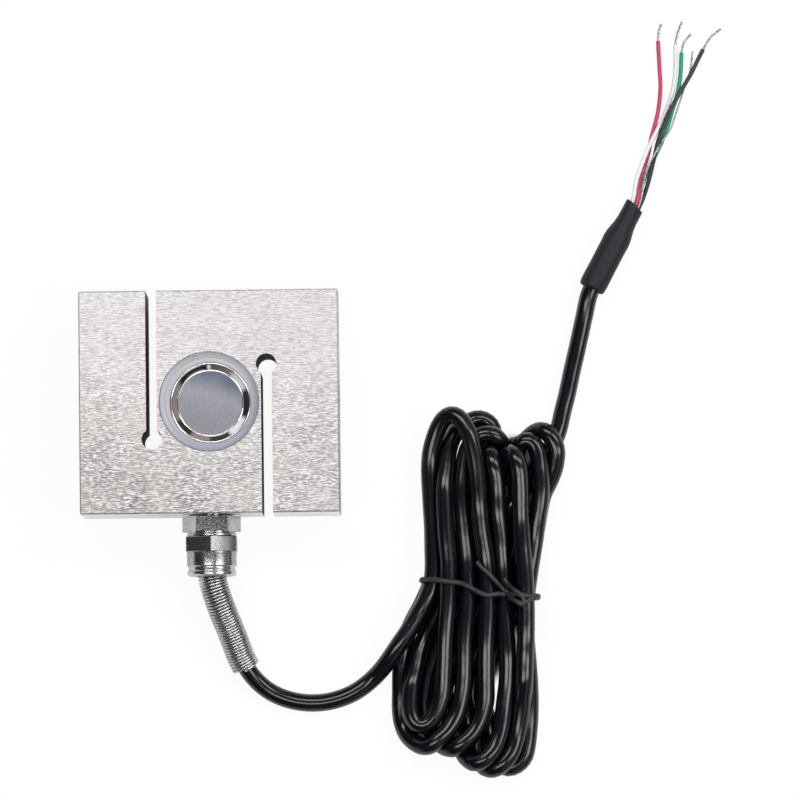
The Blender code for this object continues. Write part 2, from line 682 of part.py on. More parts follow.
nickel_plate = material("nickel_plate", (0.62, 0.60, 0.58), 0.34, 1.0)
polished_steel = material("polished_steel", (0.66, 0.68, 0.70), 0.16, 1.0)
nickel_brass = material("nickel_brass", (0.60, 0.58, 0.56), 0.2, 1.0)
spring_steel = material("spring_steel", (0.58, 0.57, 0.56), 0.24, 1.0)
silicone = material("silicone", (0.60, 0.63, 0.66), 0.4)
rubber = material("rubber", (0.03, 0.03, 0.03), 0.7)
gauge_foil = material("gauge_foil", (0.72, 0.42, 0.12), 0.5)
board_laminate = material("board_laminate", (0.05, 0.28, 0.12), 0.45)
lead_enamel = material("lead_enamel", (0.55, 0.2, 0.08), 0.4)
cable_jacket = material("cable_jacket", (0.012, 0.012, 0.014), 0.18)
tie_cover = material("tie_cover", (0.03, 0.03, 0.035), 0.5)
shrink_tube = material("shrink_tube", (0.035, 0.035, 0.04), 0.5)
core_red = material("core_red", (0.6, 0.05, 0.12), 0.35)
core_white = material("core_white", (0.78, 0.79, 0.83), 0.35)
core_green = material("core_green", (0.02, 0.34, 0.17), 0.35)
core_black = material("core_black", (0.03, 0.03, 0.035), 0.35)
tinned_copper = material("tinned_copper", (0.62, 0.62, 0.62), 0.28, 1.0)

origin = empty("cell_origin", None, (0.0, 0.0, 0.0))
gland_axis = empty("gland_axis", origin, (0.0, -block_width / 2, mid_height), (math.pi / 2, 0.0, 0.0))

make_block()
make_cups()
make_gauges()
make_board_and_leads()
make_gland()
route_to_hank = cable_path()
tube("cable_lead_in", smooth_path(route_to_hank, 1.7 * cable_diameter), cable_diameter, cable_jacket)
make_spring_guard(route_to_hank)
make_hank()
tube("twist_tie", smooth_path(on_floor(tie_route), 1.5 * tie_diameter), tie_diameter, tie_cover, 1)
make_lead_out()
make_sleeve()
make_wires()
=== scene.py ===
# S-type load cell on a pale floor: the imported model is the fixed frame, and everything here dresses it.
# Metres, the block's bore along Z, the cable leaving towards -Y.

import math

import bpy
import numpy as np
from mathutils import Matrix, Vector

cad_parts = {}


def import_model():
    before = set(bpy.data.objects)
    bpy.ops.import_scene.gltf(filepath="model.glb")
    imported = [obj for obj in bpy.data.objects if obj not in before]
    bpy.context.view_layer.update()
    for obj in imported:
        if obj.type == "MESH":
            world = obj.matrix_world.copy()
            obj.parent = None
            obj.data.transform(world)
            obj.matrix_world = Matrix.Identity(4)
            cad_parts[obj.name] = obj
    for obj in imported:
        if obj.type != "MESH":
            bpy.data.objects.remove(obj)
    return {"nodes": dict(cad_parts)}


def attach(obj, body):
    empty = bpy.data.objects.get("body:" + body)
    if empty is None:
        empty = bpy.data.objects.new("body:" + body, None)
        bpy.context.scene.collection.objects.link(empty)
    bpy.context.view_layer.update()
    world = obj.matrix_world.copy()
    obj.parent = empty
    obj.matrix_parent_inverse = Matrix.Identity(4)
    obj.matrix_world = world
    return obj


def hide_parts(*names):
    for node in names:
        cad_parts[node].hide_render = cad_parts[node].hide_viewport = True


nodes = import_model()["nodes"]
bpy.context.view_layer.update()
mm = 0.001
print("frame loaded", len(nodes), "nodes")


# materials: a socket that takes part in sums, and what makes nodes

class Value:
    def __init__(self, finish, socket):
        self.finish, self.socket = finish, socket

    def __add__(self, other): return self.finish.maths("ADD", self, other)
    def __radd__(self, other): return self.finish.maths("ADD", other, self)
    def __sub__(self, other): return self.finish.maths("SUBTRACT", self, other)
    def __rsub__(self, other): return self.finish.maths("SUBTRACT", other, self)
    def __mul__(self, other): return self.finish.maths("MULTIPLY", self, other)
    def __rmul__(self, other): return self.finish.maths("MULTIPLY", other, self)
    def __truediv__(self, other): return self.finish.maths("DIVIDE", self, other)
    def __pow__(self, other): return self.finish.maths("POWER", self, other)


class Nodes:
    def __init__(self, tree):
        self.tree = tree

    def node(self, kind, settings=None, sockets=None, output=0):
        made = self.tree.nodes.new("ShaderNode" + kind)
        for key, value in (settings or {}).items():
            if key == "stops":  # of a ramp: a place, then three values or one grey
                while len(made.color_ramp.elements) < len(value):
                    made.color_ramp.elements.new(0.5)
                for element, (place, *tone) in zip(made.color_ramp.elements, value):
                    element.position = place
                    element.color = (*(tone * 3)[:3], 1)
            else:
                setattr(made, key, value)
        for key, value in (sockets or {}).items():
            self.join(made.inputs[key], value)
        return Value(self, made.outputs[output])

    def join(self, socket, value):
        if isinstance(value, Value):
            self.tree.links.new(value.socket, socket)
        else:
            socket.default_value = value

    def axes(self, vector=None):
        split = self.node("SeparateXYZ", {}, {0: vector or self.place()})
        return [Value(self, socket) for socket in split.socket.node.outputs]

    def between(self, value, low, high):  # eased from 0 at low to 1 at high
        return self.node("MapRange", {"interpolation_type": "SMOOTHSTEP"}, {0: value, 1: low, 2: high})

    def maths(self, operation, first, second=0):
        return self.node("Math", {"operation": operation}, {0: first, 1: second})

    def mix(self, amount, first, second):
        first, second = [(*tone, 1) if isinstance(tone, tuple) else tone for tone in (first, second)]
        return self.node("Mix", {"data_type": "RGBA"}, {0: amount, 6: first, 7: second}, 2)

    def ramp(self, value, stops):
        return self.node("ValToRGB", {"stops": stops}, {0: value})


class Finish(Nodes):
    def __init__(self, name, fixed=None):  # fixed: what is the same all over the piece
        self.material = bpy.data.materials.new(name)
        self.material.use_nodes = True
        super().__init__(self.material.node_tree)
        self.shader = self.tree.nodes["Principled BSDF"]
        for socket, value in (fixed or {}).items():
            self.feed(socket, value)

    def feed(self, socket, value):
        self.join(self.shader.inputs[socket], value)

    def place(self):  # where the point is on the piece, in metres
        return self.node("TexCoord", output="Object")

    def noise(self, scale, detail=2, rough=0.5, turn=0, vector=None):
        # three scales stretch the pattern, which may be turned about Z
        vector = vector or self.place()
        if isinstance(scale, tuple):
            vector = self.node("Mapping", {}, {"Vector": vector, "Scale": scale, "Rotation": (0, 0, turn)})
            scale = 1
        return self.node("TexNoise", {}, {"Vector": vector, "Scale": scale, "Detail": detail, "Roughness": rough})

    def surface(self, colour, roughness, height, distance, strength=0.5):
        self.feed("Base Color", colour)
        self.feed("Roughness", roughness)
        self.feed("Normal", self.node("Bump", {}, {"Height": height, "Distance": distance, "Strength": strength}))
        return self


def dress(pieces, finish):
    for piece in pieces:
        piece.data.materials.clear()
        piece.data.materials.append(finish.material)


# camera, floor and light

view = {"lens": 290, "sensor": 36, "nearest": 0.05,
        "place": (0.05145824, -0.10507392, 1.48632408), "right": (0.99990884, -0.01199948, -0.00619103),
        "up": (0.01241002, 0.99738508, 0.0711968)}
studio = {
    "floorSize": 9, "floorMiddle": (0.04, 0, 0), "floorWhite": 0.93, "floorRough": 0.9, "floorGlow": 0.93,
    "mirroredGlow": 0.3, "shadeEdge": (0.75, 1),
    # ellipses in the shade beneath the hank: middle and half sizes, in millimetres
    "shade": [(61.5, -41.6, 10, 25), (49, -72.6, 4.5, 8), (60, -66, 3.2, 10), (69.5, -19, 7, 12.5),
        (59, -75.5, 5.5, 5), (71, -57, 2.5, 10), (50.5, -55, 3.5, 6)],
    "aim": (0.045, 0, 0.01), "distance": 1.75, "glow": 6.4,
    # each softbox: degrees to the right and to the back, and its size in metres
    "softboxes": {"backLeftSoftbox": (-13, 32, 1.25, 0.46), "backRightSoftbox": (36, 28, 1, 0.42),
                  "frontLeftSoftbox": (-13, -13, 1.2, 0.4), "frontRightSoftbox": (36, -12, 1, 0.36)},
    # the room overhead, from left to right: share of the half turn, then its tone
    "overhead": [(0, 0.04, 0.04, 0.05), (0.3, 0.05, 0.05, 0.06), (0.39, 0.075, 0.078, 0.115),
        (0.64, 0.075, 0.078, 0.115), (0.69, 0.56, 0.56, 0.59), (0.85, 0.56, 0.56, 0.59), (0.88, 0.02), (1, 0.02)],
    # what stands round the table: share of a turn from the left, then its tone
    "surroundings": [(0, 0.3, 0.26, 0.24), (0.08, 0.3, 0.27, 0.25), (0.1, 0.05, 0.045, 0.04),
        (0.165, 0.05, 0.045, 0.04), (0.18, 0.36, 0.31, 0.28), (0.245, 0.34, 0.3, 0.27), (0.26, 0.05, 0.045, 0.04),
        (0.33, 0.06, 0.05, 0.045), (0.345, 1), (0.415, 1), (0.435, 0.02, 0.022, 0.035), (0.535, 0.03, 0.033, 0.05),
        (0.555, 0.7), (0.62, 0.7), (0.65, 0.2, 0.18, 0.18), (0.74, 0.1, 0.08, 0.08), (0.744, 0.8), (0.756, 0.8),
        (0.76, 0.02, 0.017, 0.015), (0.9, 0.02, 0.017, 0.015), (0.93, 0.3, 0.26, 0.24)],
    "horizon": (0.26, 0.31),  # how high the overhead light begins
}


def added(name, data):
    thing = bpy.data.objects.new(name, data)
    bpy.context.scene.collection.objects.link(thing)
    return thing


def standing(place, right, up, back):
    return Matrix.Translation(place) @ Matrix((right, up, back)).transposed().to_4x4()


def makeCamera():
    data = bpy.data.cameras.new("camera")
    data.lens = view["lens"]
    data.sensor_width = view["sensor"]
    data.clip_start = view["nearest"]
    camera = added("camera", data)
    right = Vector(view["right"]).normalized()
    up = Vector(view["up"])
    back = right.cross(up).normalized()
    up = back.cross(right)
    camera.matrix_world = standing(view["place"], right, up, back)
    bpy.context.scene.camera = camera


def makeFloor():
    bpy.ops.mesh.primitive_plane_add(size=studio["floorSize"], location=studio["floorMiddle"])
    floor = bpy.context.active_object
    floor.name = "floor"
    bpy.ops.object.transform_apply()
    white = studio["floorWhite"]
    paper = Finish("floor_paper", {"Base Color": (white, white, white, 1), "Roughness": studio["floorRough"]})
    ways = paper.node("LightPath").socket.node.outputs
    seen = [Value(paper, ways[name]) for name in ("Is Camera Ray", "Is Glossy Ray", "Is Transmission Ray")]
    mirrored = paper.maths("MINIMUM", seen[1] + seen[2], 1) * studio["mirroredGlow"]  # less, to keep its shadows
    share = paper.maths("MAXIMUM", seen[0] * studio["floorGlow"], mirrored)
    x, y, z = paper.axes()
    for middleX, middleY, halfX, halfY in studio["shade"]:
        away = ((x - middleX * mm) / (halfX * mm)) ** 2 + ((y - middleY * mm) / (halfY * mm)) ** 2
        share = share * paper.between(away, *studio["shadeEdge"])
    glow = paper.node("Emission", {}, {"Color": (1, 1, 1, 1), "Strength": 1})
    both = paper.node("MixShader", {}, {0: share, 1: Value(paper, paper.shader.outputs[0]), 2: glow})
    paper.join(paper.tree.nodes["Material Output"].inputs["Surface"], both)
    dress([floor], paper)


def makeLight():
    world = bpy.context.scene.world or bpy.data.worlds.new("studio")
    bpy.context.scene.world = world
    world.use_nodes = True
    room = Nodes(world.node_tree)
    x, y, z = room.axes(room.node("TexCoord"))
    turn = room.maths("FRACT", room.maths("ARCTAN2", y, x) / (2 * math.pi) + 1)
    cards = room.ramp(turn, studio["surroundings"])
    overhead = room.ramp(room.maths("ARCTAN2", x, z) / math.pi + 0.5, studio["overhead"])
    tone = room.mix(room.between(z, *studio["horizon"]), cards, overhead)
    background = world.node_tree.nodes["Background"]
    room.join(background.inputs["Color"], tone)
    background.inputs["Strength"].default_value = 1
    for name, (across, along, long, wide) in studio["softboxes"].items():
        data = bpy.data.lights.new(name, "AREA")
        data.shape = "RECTANGLE"
        data.size, data.size_y = long, wide
        data.energy = studio["glow"] * math.pi * long * wide
        lamp = added(name, data)
        way = Vector((math.tan(math.radians(across)), math.tan(math.radians(along)), 1)).normalized()
        right = (Vector((1, 0, 0)) - way.x * way).normalized()  # the long side runs from left to right
        lamp.matrix_world = standing(Vector(studio["aim"]) + studio["distance"] * way, right, way.cross(right), way)
        lamp.visible_camera = False


bpy.context.scene.view_settings.view_transform = "Standard"
makeCamera()
makeFloor()
makeLight()
print("camera, floor and light made")


# paths and tubes

def onlyThis(piece):
    bpy.ops.object.select_all(action="DESELECT")
    piece.select_set(True)
    bpy.context.view_layer.objects.active = piece


def standsFor(piece, *names):  # a finished piece on the root body, in the place of these nodes
    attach(piece, "root")
    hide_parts(*names)
    return piece


exit = Vector((0, -39.6 * mm, 9.5 * mm))
lowest = {"cable": 2.1, "core": 0.55}  # a centreline lying on the floor, in millimetres


def fromExit(route, low=lowest["cable"]):
    # millimetres from the cable's exit, and the height over the floor, low where none is given
    return np.array([(exit.x + x * mm, exit.y + y * mm, (*z, low)[0] * mm) for x, y, *z in route])


def evenSteps(points, spacing):
    run = np.linalg.norm(np.diff(points[:, :3], axis=0), axis=1)
    travelled = np.concatenate([[0], np.cumsum(run)])
    count = max(2, round(travelled[-1] / spacing))
    stops = np.linspace(0, travelled[-1], count + 1)
    return np.stack([np.interp(stops, travelled, points[:, axis]) for axis in range(points.shape[1])], axis=1)


def smoothPath(points, spacing):  # a centripetal curve; extra columns are carried along
    points = np.asarray(points, float)
    ends = np.concatenate([[2 * points[0] - points[1]], points, [2 * points[-1] - points[-2]]])
    dense = []
    for p0, p1, p2, p3 in zip(ends, ends[1:], ends[2:], ends[3:]):
        t1, t2, t3 = np.cumsum([np.linalg.norm((b - a)[:3]) ** 0.5 for a, b in ((p0, p1), (p1, p2), (p2, p3))])
        for t in t1 + (t2 - t1) * np.arange(16) / 16:
            a1 = p0 + (p1 - p0) * t / t1
            a2 = p1 + (p2 - p1) * (t - t1) / (t2 - t1)
            a3 = p2 + (p3 - p2) * (t - t2) / (t3 - t2)
            b1 = a1 + (a2 - a1) * t / t2
            b2 = a2 + (a3 - a2) * (t - t1) / (t3 - t1)
            dense.append(b1 + (b2 - b1) * (t - t1) / (t2 - t1))
    dense.append(points[-1])
    return evenSteps(np.array(dense), spacing)


def pathLength(points):
    return float(np.linalg.norm(np.diff(points[:, :3], axis=0), axis=1).sum())


def makeTubes(name, lines, diameter, roundness):  # a round tube along each line, its ends closed
    data = bpy.data.curves.new(name, "CURVE")
    data.dimensions = "3D"
    data.bevel_depth = diameter / 2
    data.bevel_resolution = roundness
    data.use_fill_caps = True
    for line in lines:
        spline = data.splines.new("POLY")
        spline.points.add(len(line) - 1)
        for point, place in zip(spline.points, line):
            point.co = (*place, 1)
    onlyThis(added(name, data))
    bpy.ops.object.convert(target="MESH")
    return bpy.context.active_object


def woundRound(axis, radius, turned):  # a line wound round the axis
    ahead = np.gradient(axis, axis=0)
    ahead /= np.linalg.norm(ahead, axis=1)[:, None]
    across = np.zeros_like(axis)
    side = np.array((1.0, 0.0, 0.0))
    for number, way in enumerate(ahead):
        side = side - side.dot(way) * way
        side /= np.linalg.norm(side)
        across[number] = side
    turned = turned[:, None]
    return axis + radius * (np.cos(turned) * across + np.sin(turned) * np.cross(ahead, across))


# the cable: out of the gland, through its spring, round the hank six times, and into the sleeve

cableRoute = {
    "diameter": 4.1 * mm, "spacing": 1 * mm, "roundness": 5,
    "inTheGland": [(0, 21.05, 9.5), (0, 14.05, 9.5), (0, 7, 9.5), (0, 0, 9.5)],
    "throughTheSpring": [(1.45, -5.5, 8.65), (4.1, -12.4, 6.27), (7.8, -21.3, 3.5)],
    "alongTheFloor": [(12.6, -26.2, 2.2), (18.9, -28.7, 2.06), (25.6, -28.9, 2.06), (31.8, -27, 2.06),
        (36.6, -23.6, 2.4), (40.3, -19.6, 4.4), (42.8, -16, 5.6), (45, -12.7, 6.1), (47.1, -9.3, 6.3)],
    # each run of the hank: how firmly it keeps its place, then its points
    "hank": [
        (1, [(49.1, -5.7, 6.3), (50.4, -2, 6.1), (50.9, 1.8, 5.6), (50.9, 5.6, 5), (50.8, 10.3, 4.6),
         (50.5, 17.2, 4.4), (50.5, 23, 4.8), (50.9, 27.6, 5.4), (51.6, 31.4, 6.2), (52.6, 34.3, 7), (53.9, 36, 7.8),
         (55.4, 36.6, 8.6), (56.9, 36, 9.2), (58.2, 34.3, 9.8), (59.3, 32, 10.2), (60.2, 29, 10.2), (60.9, 25.6, 9.8),
         (61.2, 21.5, 9.2), (61.4, 15.8, 8.6), (61.9, 9.8, 8), (63.1, 2, 7.4), (63.3, -6.1, 7.4), (62.7, -15.2, 6.8),
         (62.5, -24.4, 6.4), (62.4, -29, 6.4), (61.7, -32, 6.3), (60.2, -35.5, 6.2), (57.9, -38.4, 6.2),
         (55.4, -40.1, 6), (53.2, -39.6, 5)]),
        (0.6, [(50.4, -37.4, 3.4), (48.9, -34.2, 2.3), (48.5, -29), (49.2, -23.5)]),
        (0.1, [(51.4, -17.6), (54.7, -11.5), (57.5, -6.9), (58.9, -3), (60.2, 3.4), (61.6, 9.1), (63.1, 14.9),
         (64.7, 19.2), (65.6, 21.7, 3.2), (66.7, 24.5, 4.3)]),
        (1, [(67.7, 26.7, 5.9), (68.8, 27.8, 7.9), (69.8, 26.9, 9.6), (70.5, 24.8, 10.2), (70.85, 21.8, 9.4),
         (70.9, 18, 8.2), (70.9, 14.5, 7.8), (71.2, 8.8, 8.2), (71.8, 1.9, 8.6), (71.9, -6.2, 8.8),
         (71.8, -14.2, 8.4), (71.6, -18.8, 7.8), (71.2, -25, 8), (70.5, -29, 6.6), (69.8, -33.6, 5.8), (69, -38, 5.2),
         (67.9, -41.4, 4.7), (65.9, -43.7, 4.2), (63.4, -44.4, 3.8), (61, -43.5, 3.2)]),
        (0.1, [(59.3, -41.2, 2.5), (58.4, -38.4), (57.9, -35), (57.2, -31.1), (57, -26.5), (58, -20.8), (60.4, -15),
         (63.2, -10.5), (66, -6.4), (67.7, -3.2), (68.9, 3.3), (69.6, 8.9), (70.2, 14.6), (70.1, 19.7),
         (69.7, 23.6, 2.2), (69.5, 26.2, 3.1)]),
        (1, [(69.7, 28.2, 4.7), (70.7, 29.8, 6), (72.3, 30.6, 6.7), (74, 30, 6.8), (75, 28.2, 6.7),
         (75.5, 25.6, 6.5), (75.7, 20.9, 6.2), (75.5, 16.8, 6), (74.8, 12.2, 5.8), (74.1, 7.7, 5.6), (73, 2, 5.6),
         (72.3, -2.6, 5.6), (71.8, -7.2, 5.6), (71.8, -14.1, 5.2), (72.5, -24.9, 3.6), (72.5, -31.8, 2.6),
         (72.2, -36, 2.2), (71.8, -39.7), (71.1, -42.2), (69.3, -43.9), (66.9, -44.6), (64.4, -43.9)]),
        (0.1, [(62.7, -42.2), (61.8, -39.4), (61.3, -35), (61.1, -30.2), (61.3, -25.4), (62.3, -20.1), (64.1, -15.6),
         (66.6, -11), (70.4, -7.1), (72.1, -3.2), (73, 2.1), (73.8, 6.7), (74.5, 11.3, 2.2), (75.2, 15.2, 2.4),
         (76, 18.3, 3)]),
        (1, [(77.9, 22.1, 4), (79, 25, 5), (79.4, 28.5, 5.8), (78.4, 31.1, 6), (77.1, 32.5, 5.8), (75.5, 32.9, 4.6),
         (73.8, 32, 3.4), (72.5, 30.5, 2.4), (71, 29.4), (69.2, 28.9), (67.7, 29, 2.8), (66.7, 29.7, 4.2),
         (66, 30.7, 5.5), (65, 31.7, 6.2), (63.6, 32.2, 6.4), (61.9, 31.9, 6.4), (60, 30.4, 6), (58.5, 27.7, 5.8),
         (57.6, 24, 5.9), (57.3, 18.9, 6), (57.9, 9.9, 6), (58.5, 2.1, 6.1), (58.5, -6, 6.6), (57.8, -14, 6.4),
         (57.4, -24.9, 6.3), (56.6, -29.5, 6.3), (55.2, -33.5, 6.3), (52.7, -37.3, 6.3), (49.9, -39.5, 6.2),
         (47.3, -39.3, 5.2), (44.6, -37.1, 3.4), (43.3, -34.4, 2.3), (42.8, -30.9), (42.9, -26.8)]),
        (0.1, [(43.1, -22.2), (43.9, -16.7), (45.9, -12.1), (49, -7.1), (50.4, -2.9), (51.6, 3.5), (52.8, 9.3),
         (54.8, 15), (57, 19.6), (58.9, 23.7), (60.7, 27, 2.2)]),
        (1, [(62.9, 29.2, 2.3), (64.7, 30.9, 2.4), (65.3, 32.8, 2.5), (64.4, 34.6, 2.6), (62.9, 35.7, 2.6),
         (61.3, 36, 2.8), (59.4, 35.3, 3), (57, 33.8, 3.4), (55.3, 31.2, 4), (54.3, 28.4, 5), (54, 24.5, 6),
         (53.5, 19.4, 6.8), (53.7, 9.9, 7.6), (54.1, 2.1, 8), (54, -6, 8.2), (53.3, -14, 7.4), (52.9, -22.2, 6.8),
         (52.6, -26.6, 6.7), (51.9, -29.8, 6.7), (50.5, -32.6, 6.7), (48.5, -34.5, 6.6), (46.5, -34.3, 6.5),
         (45.2, -32, 6.4), (45.1, -28.6, 6.1), (45.5, -25, 5.5)]),
        (0.4, [(46.2, -21.6, 4.4), (47.4, -18, 3), (49.2, -14.8, 2.2), (52.4, -8.6), (54.6, -3), (55.8, 3.4),
         (57.5, 9.2), (58.9, 14.5, 2.2), (60.8, 19, 2.2), (62.3, 22.2, 2.2), (63.3, 24.9, 2.8)]),
        (1, [(64.1, 26.9, 4), (64.7, 27.8, 5.8), (65.2, 27, 7.5), (65.5, 24.9, 8.3), (65.65, 22, 7.9),
         (65.7, 18.6, 7.1), (65.9, 14.6, 6.6), (66.3, 9.8, 6.4), (66.7, 1.9, 6.2), (66.9, -6.1, 6.2),
         (67.3, -14.1, 6.2), (67.5, -18.3, 6.3), (67.5, -25, 6.2), (67.1, -30.6, 6.2), (66.4, -35, 6.2),
         (65.3, -38.4, 6.2), (63.9, -41.4, 6.2), (62.1, -43.3, 6.1), (60.2, -43.6, 5.7), (58.6, -42.4, 4.9)]),
        (0.1, [(57.3, -40.2, 3.8), (56.1, -37.2, 2.6), (54.4, -32.4), (53, -26.9), (53.9, -20.7), (56.2, -15),
         (59.1, -10.4), (62.1, -6.3), (63.5, -3.1), (64.5, 3.3), (66.2, 9.1), (68.8, 14.8), (72.2, 19.4), (75.4, 24),
         (78.2, 28.6)]),
    ],
    "outOfTheHank": [(80, 33.1), (81, 37.2), (82.1, 41.3), (83.3, 46.6), (84.8, 52.8), (86.4, 59.7, 2.4),
        (87.6, 64.6, 3.1)],
    "sleeveStart": (88, 65.7, 3.2), "sleeveWay": (10.3, 19.2), "sleeveGrip": (3.25, 8.45, 13),
}
settling = {
    "rounds": 500, "hold": (0.1, 0.1, 0.05), "weight": 0.004, "stiff": 0.45, "keepOff": 4.14 * mm,
    # points this near along the cable don't push; how often and how far round others are sought
    "sameRun": 7 * mm, "lookEvery": 25, "lookRound": 2 * mm,
    # visible runs rise between the tie and the folds: where along Y, how far and how high
    "swell": [(15.8, 9, 1.3), (-16.5, 9, 0.9)],
}
sleeveStart = fromExit([cableRoute["sleeveStart"]])[0]
sleeveWay = Vector((*cableRoute["sleeveWay"], 0)).normalized()


def settleCable(line, firmness):
    # the runs push each other apart, sink to the floor and keep to the places seen from above
    place = line.copy()
    count = len(place)
    skip = round(settling["sameRun"] / cableRoute["spacing"])
    reach = settling["keepOff"]
    hold = np.minimum(firmness, 1)[:, None] * np.array(settling["hold"])
    free = (firmness < 1.5).astype(float)[:, None]
    for turn in range(settling["rounds"]):
        if turn % settling["lookEvery"] == 0:  # who is near whom
            first, second = [], []
            for number in range(count - skip):
                gap = place[number + skip:] - place[number]
                close = np.nonzero((gap * gap).sum(1) < (reach + settling["lookRound"]) ** 2)[0]
                first.append(np.full(len(close), number))
                second.append(close + number + skip)
            first, second = np.concatenate(first), np.concatenate(second)
        gap = place[second] - place[first]
        apart = np.linalg.norm(gap, axis=1)
        inside = apart < reach
        a, b = first[inside], second[inside]
        depth = reach - apart[inside]
        way = gap[inside] / np.maximum(apart[inside], 1e-6)[:, None]
        weight = np.bincount(a, depth, count) + np.bincount(b, depth, count) + 1e-7
        move = np.zeros_like(place)
        for axis in range(3):  # by the mean of what pushes, deep contacts counting most
            push = 0.5 * depth * depth * way[:, axis]
            move[:, axis] = (np.bincount(b, push, count) - np.bincount(a, push, count)) / weight
        for again in range(3):
            move[1:-1] = 0.25 * move[:-2] + 0.5 * move[1:-1] + 0.25 * move[2:]
        move -= hold * (place - line)
        move[:, 2] -= settling["weight"] * mm
        place += move * free
        for step in (1, 3):  # what a push does spreads along the cable, so no run is kinked
            moved = place - line
            curl = (moved[:-4 * step] - 4 * moved[step:-3 * step] + 6 * moved[2 * step:-2 * step]
                    - 4 * moved[3 * step:-step] + moved[4 * step:])
            place[2 * step:-2 * step] -= settling["stiff"] * curl / 16 * free[2 * step:-2 * step]
        place[:, 2] = np.maximum(place[:, 2], cableRoute["diameter"] / 2)
    return place


def cableLine():
    # firmness: 2 where nothing moves, 1 or less where the runs settle
    rows = [(*p, 2) for p in fromExit(cableRoute["inTheGland"] + cableRoute["throughTheSpring"])]
    rows += [(*p, 2 if number < 4 else 1) for number, p in enumerate(fromExit(cableRoute["alongTheFloor"]))]
    for firmness, route in cableRoute["hank"]:
        for x, y, *z in route:
            rise = sum(high * math.exp(-((y - at) / wide) ** 2) for at, wide, high in settling["swell"])
            high = (*z, lowest["cable"])[0] + (rise if firmness == 1 else 0)
            rows.append((*fromExit([(x, y, high)])[0], firmness))
    rows += [(*p, 1 if number < 2 else 2) for number, p in enumerate(fromExit(cableRoute["outOfTheHank"]))]
    way = np.array((*cableRoute["sleeveWay"], 0))
    way /= np.linalg.norm(way)
    rows += [(*(sleeveStart + way * reach * mm), 2) for reach in cableRoute["sleeveGrip"]]
    fine = smoothPath(rows, cableRoute["spacing"])
    return evenSteps(settleCable(fine[:, :3], fine[:, 3]), cableRoute["spacing"])


def makeCable():
    line = cableLine()
    cable = makeTubes("cable", [line], cableRoute["diameter"], cableRoute["roundness"])
    standsFor(cable, "cable_lead_in", "cable_hank", "cable_lead_out")
    print("cable", round(pathLength(line), 4), "m, top", round(float(line[:, 2].max()) / mm, 2), "mm")
    return cable, line


cable, cablePath = makeCable()


# the four cores and the drain wire

coreRoutes = {
    "diameter": 1 * mm, "conductor": 0.56 * mm, "drain": 0.44 * mm, "sleeveLength": 21.8 * mm, "runInside": 5.5 * mm,
    # a conductor's strands: how many, their share of its width, and the length of one twist
    "strands": 6, "strandShare": 0.4, "tipTwist": 3.4 * mm, "drainTwist": 4.2 * mm,
    "coreStep": 0.7 * mm, "tipStep": 0.12 * mm, "drainStep": 0.16 * mm,
    # seat: where it leaves the sleeve, in core diameters to the right and up
    "red": {"seat": (0.25, 0.05), "route": [(99.3, 86.6, 3.05), (99.35, 89.7, 2.3), (100.7, 93.7, 1.35),
        (101.9, 97.8, 0.75), (102.5, 100.9, 0.58), (103.2, 103.3), (104.1, 106.7), (104.8, 112.6), (104.6, 117.8),
        (104.4, 123.4)],
        "tip": [(104.4, 123.5), (104.6, 125.6, 0.5), (105.2, 127.4, 0.4)]},
    "white": {"seat": (-0.8, 0.55), "route": [(98.1, 86.9, 3.7), (98.7, 90.3, 3.4), (100.1, 94.4, 2.65),
        (101.8, 98.5, 1.9), (103.4, 101.6, 1.55), (105.2, 105.3, 0.82), (106.6, 108.7, 0.6), (107.7, 112.1),
        (108.3, 116.5), (108.4, 122.5)],
        "tip": [(108.4, 122.6), (109, 125.3), (110, 127.8, 0.6)]},
    "green": {"seat": (0.05, -1.15), "route": [(98.9, 86.5, 1.85), (101.1, 92, 0.9), (105.2, 100.5, 0.58),
        (106.4, 103.6), (107.5, 107.3), (108.6, 110.7), (109.45, 115.2), (109.8, 120.6)],
        "tip": [(109.8, 120.7), (110.5, 123.1, 0.5), (112.1, 125, 0.4)]},
    "black": {"seat": (1.15, -0.6), "route": [(100.45, 86.9, 2.35), (101.7, 90.7, 2.2), (103.1, 96.1, 1.95),
        (104.2, 100.5, 1.88), (106.1, 105.3, 1.9), (107.8, 108.7, 1.8), (109.8, 112.1, 1.55), (112, 115.8, 1.2),
        (113.7, 119.2, 0.75), (114.8, 121.3, 0.6)],
        "tip": [(114.9, 121.45, 0.6), (116.6, 124.1, 0.5), (119, 126.1, 0.4)]},
    "drainWire": {"seat": (0.95, 0.75), "route": [(100, 87, 3.9), (100.6, 90.7, 3.5), (101.7, 94.2, 3.1),
        (103.1, 96.7, 2.95), (104, 98.2, 2.75), (105.1, 99.9, 1.85), (107, 102.9, 1.1), (108.5, 107, 0.45),
        (109.5, 109.9, 0.3), (110.5, 112.8, 0.25), (111.7, 116.2, 0.25), (112.4, 120.9, 0.3)]},
}


def coreLine(wire, spacing):
    across = sleeveWay.cross(Vector((0, 0, 1))).normalized()
    upward = across.cross(sleeveWay)
    mouth = Vector(sleeveStart) + sleeveWay * coreRoutes["sleeveLength"]
    mouth = mouth + coreRoutes["diameter"] * (wire["seat"][0] * across + wire["seat"][1] * upward)
    rows = [mouth - sleeveWay * coreRoutes["runInside"], mouth, *fromExit(wire["route"], lowest["core"])]
    return mouth, smoothPath(rows, spacing)


def makeStrands(name, points, diameter, twist):  # fine strands laid into one twisted conductor
    fine = coreRoutes["strandShare"] * diameter
    turned = 2 * math.pi * pathLength(points) / twist * np.linspace(0, 1, len(points))
    starts = 2 * math.pi * np.arange(coreRoutes["strands"]) / coreRoutes["strands"]
    return makeTubes(name, [woundRound(points, (diameter - fine) / 2, turned + start) for start in starts], fine, 1)


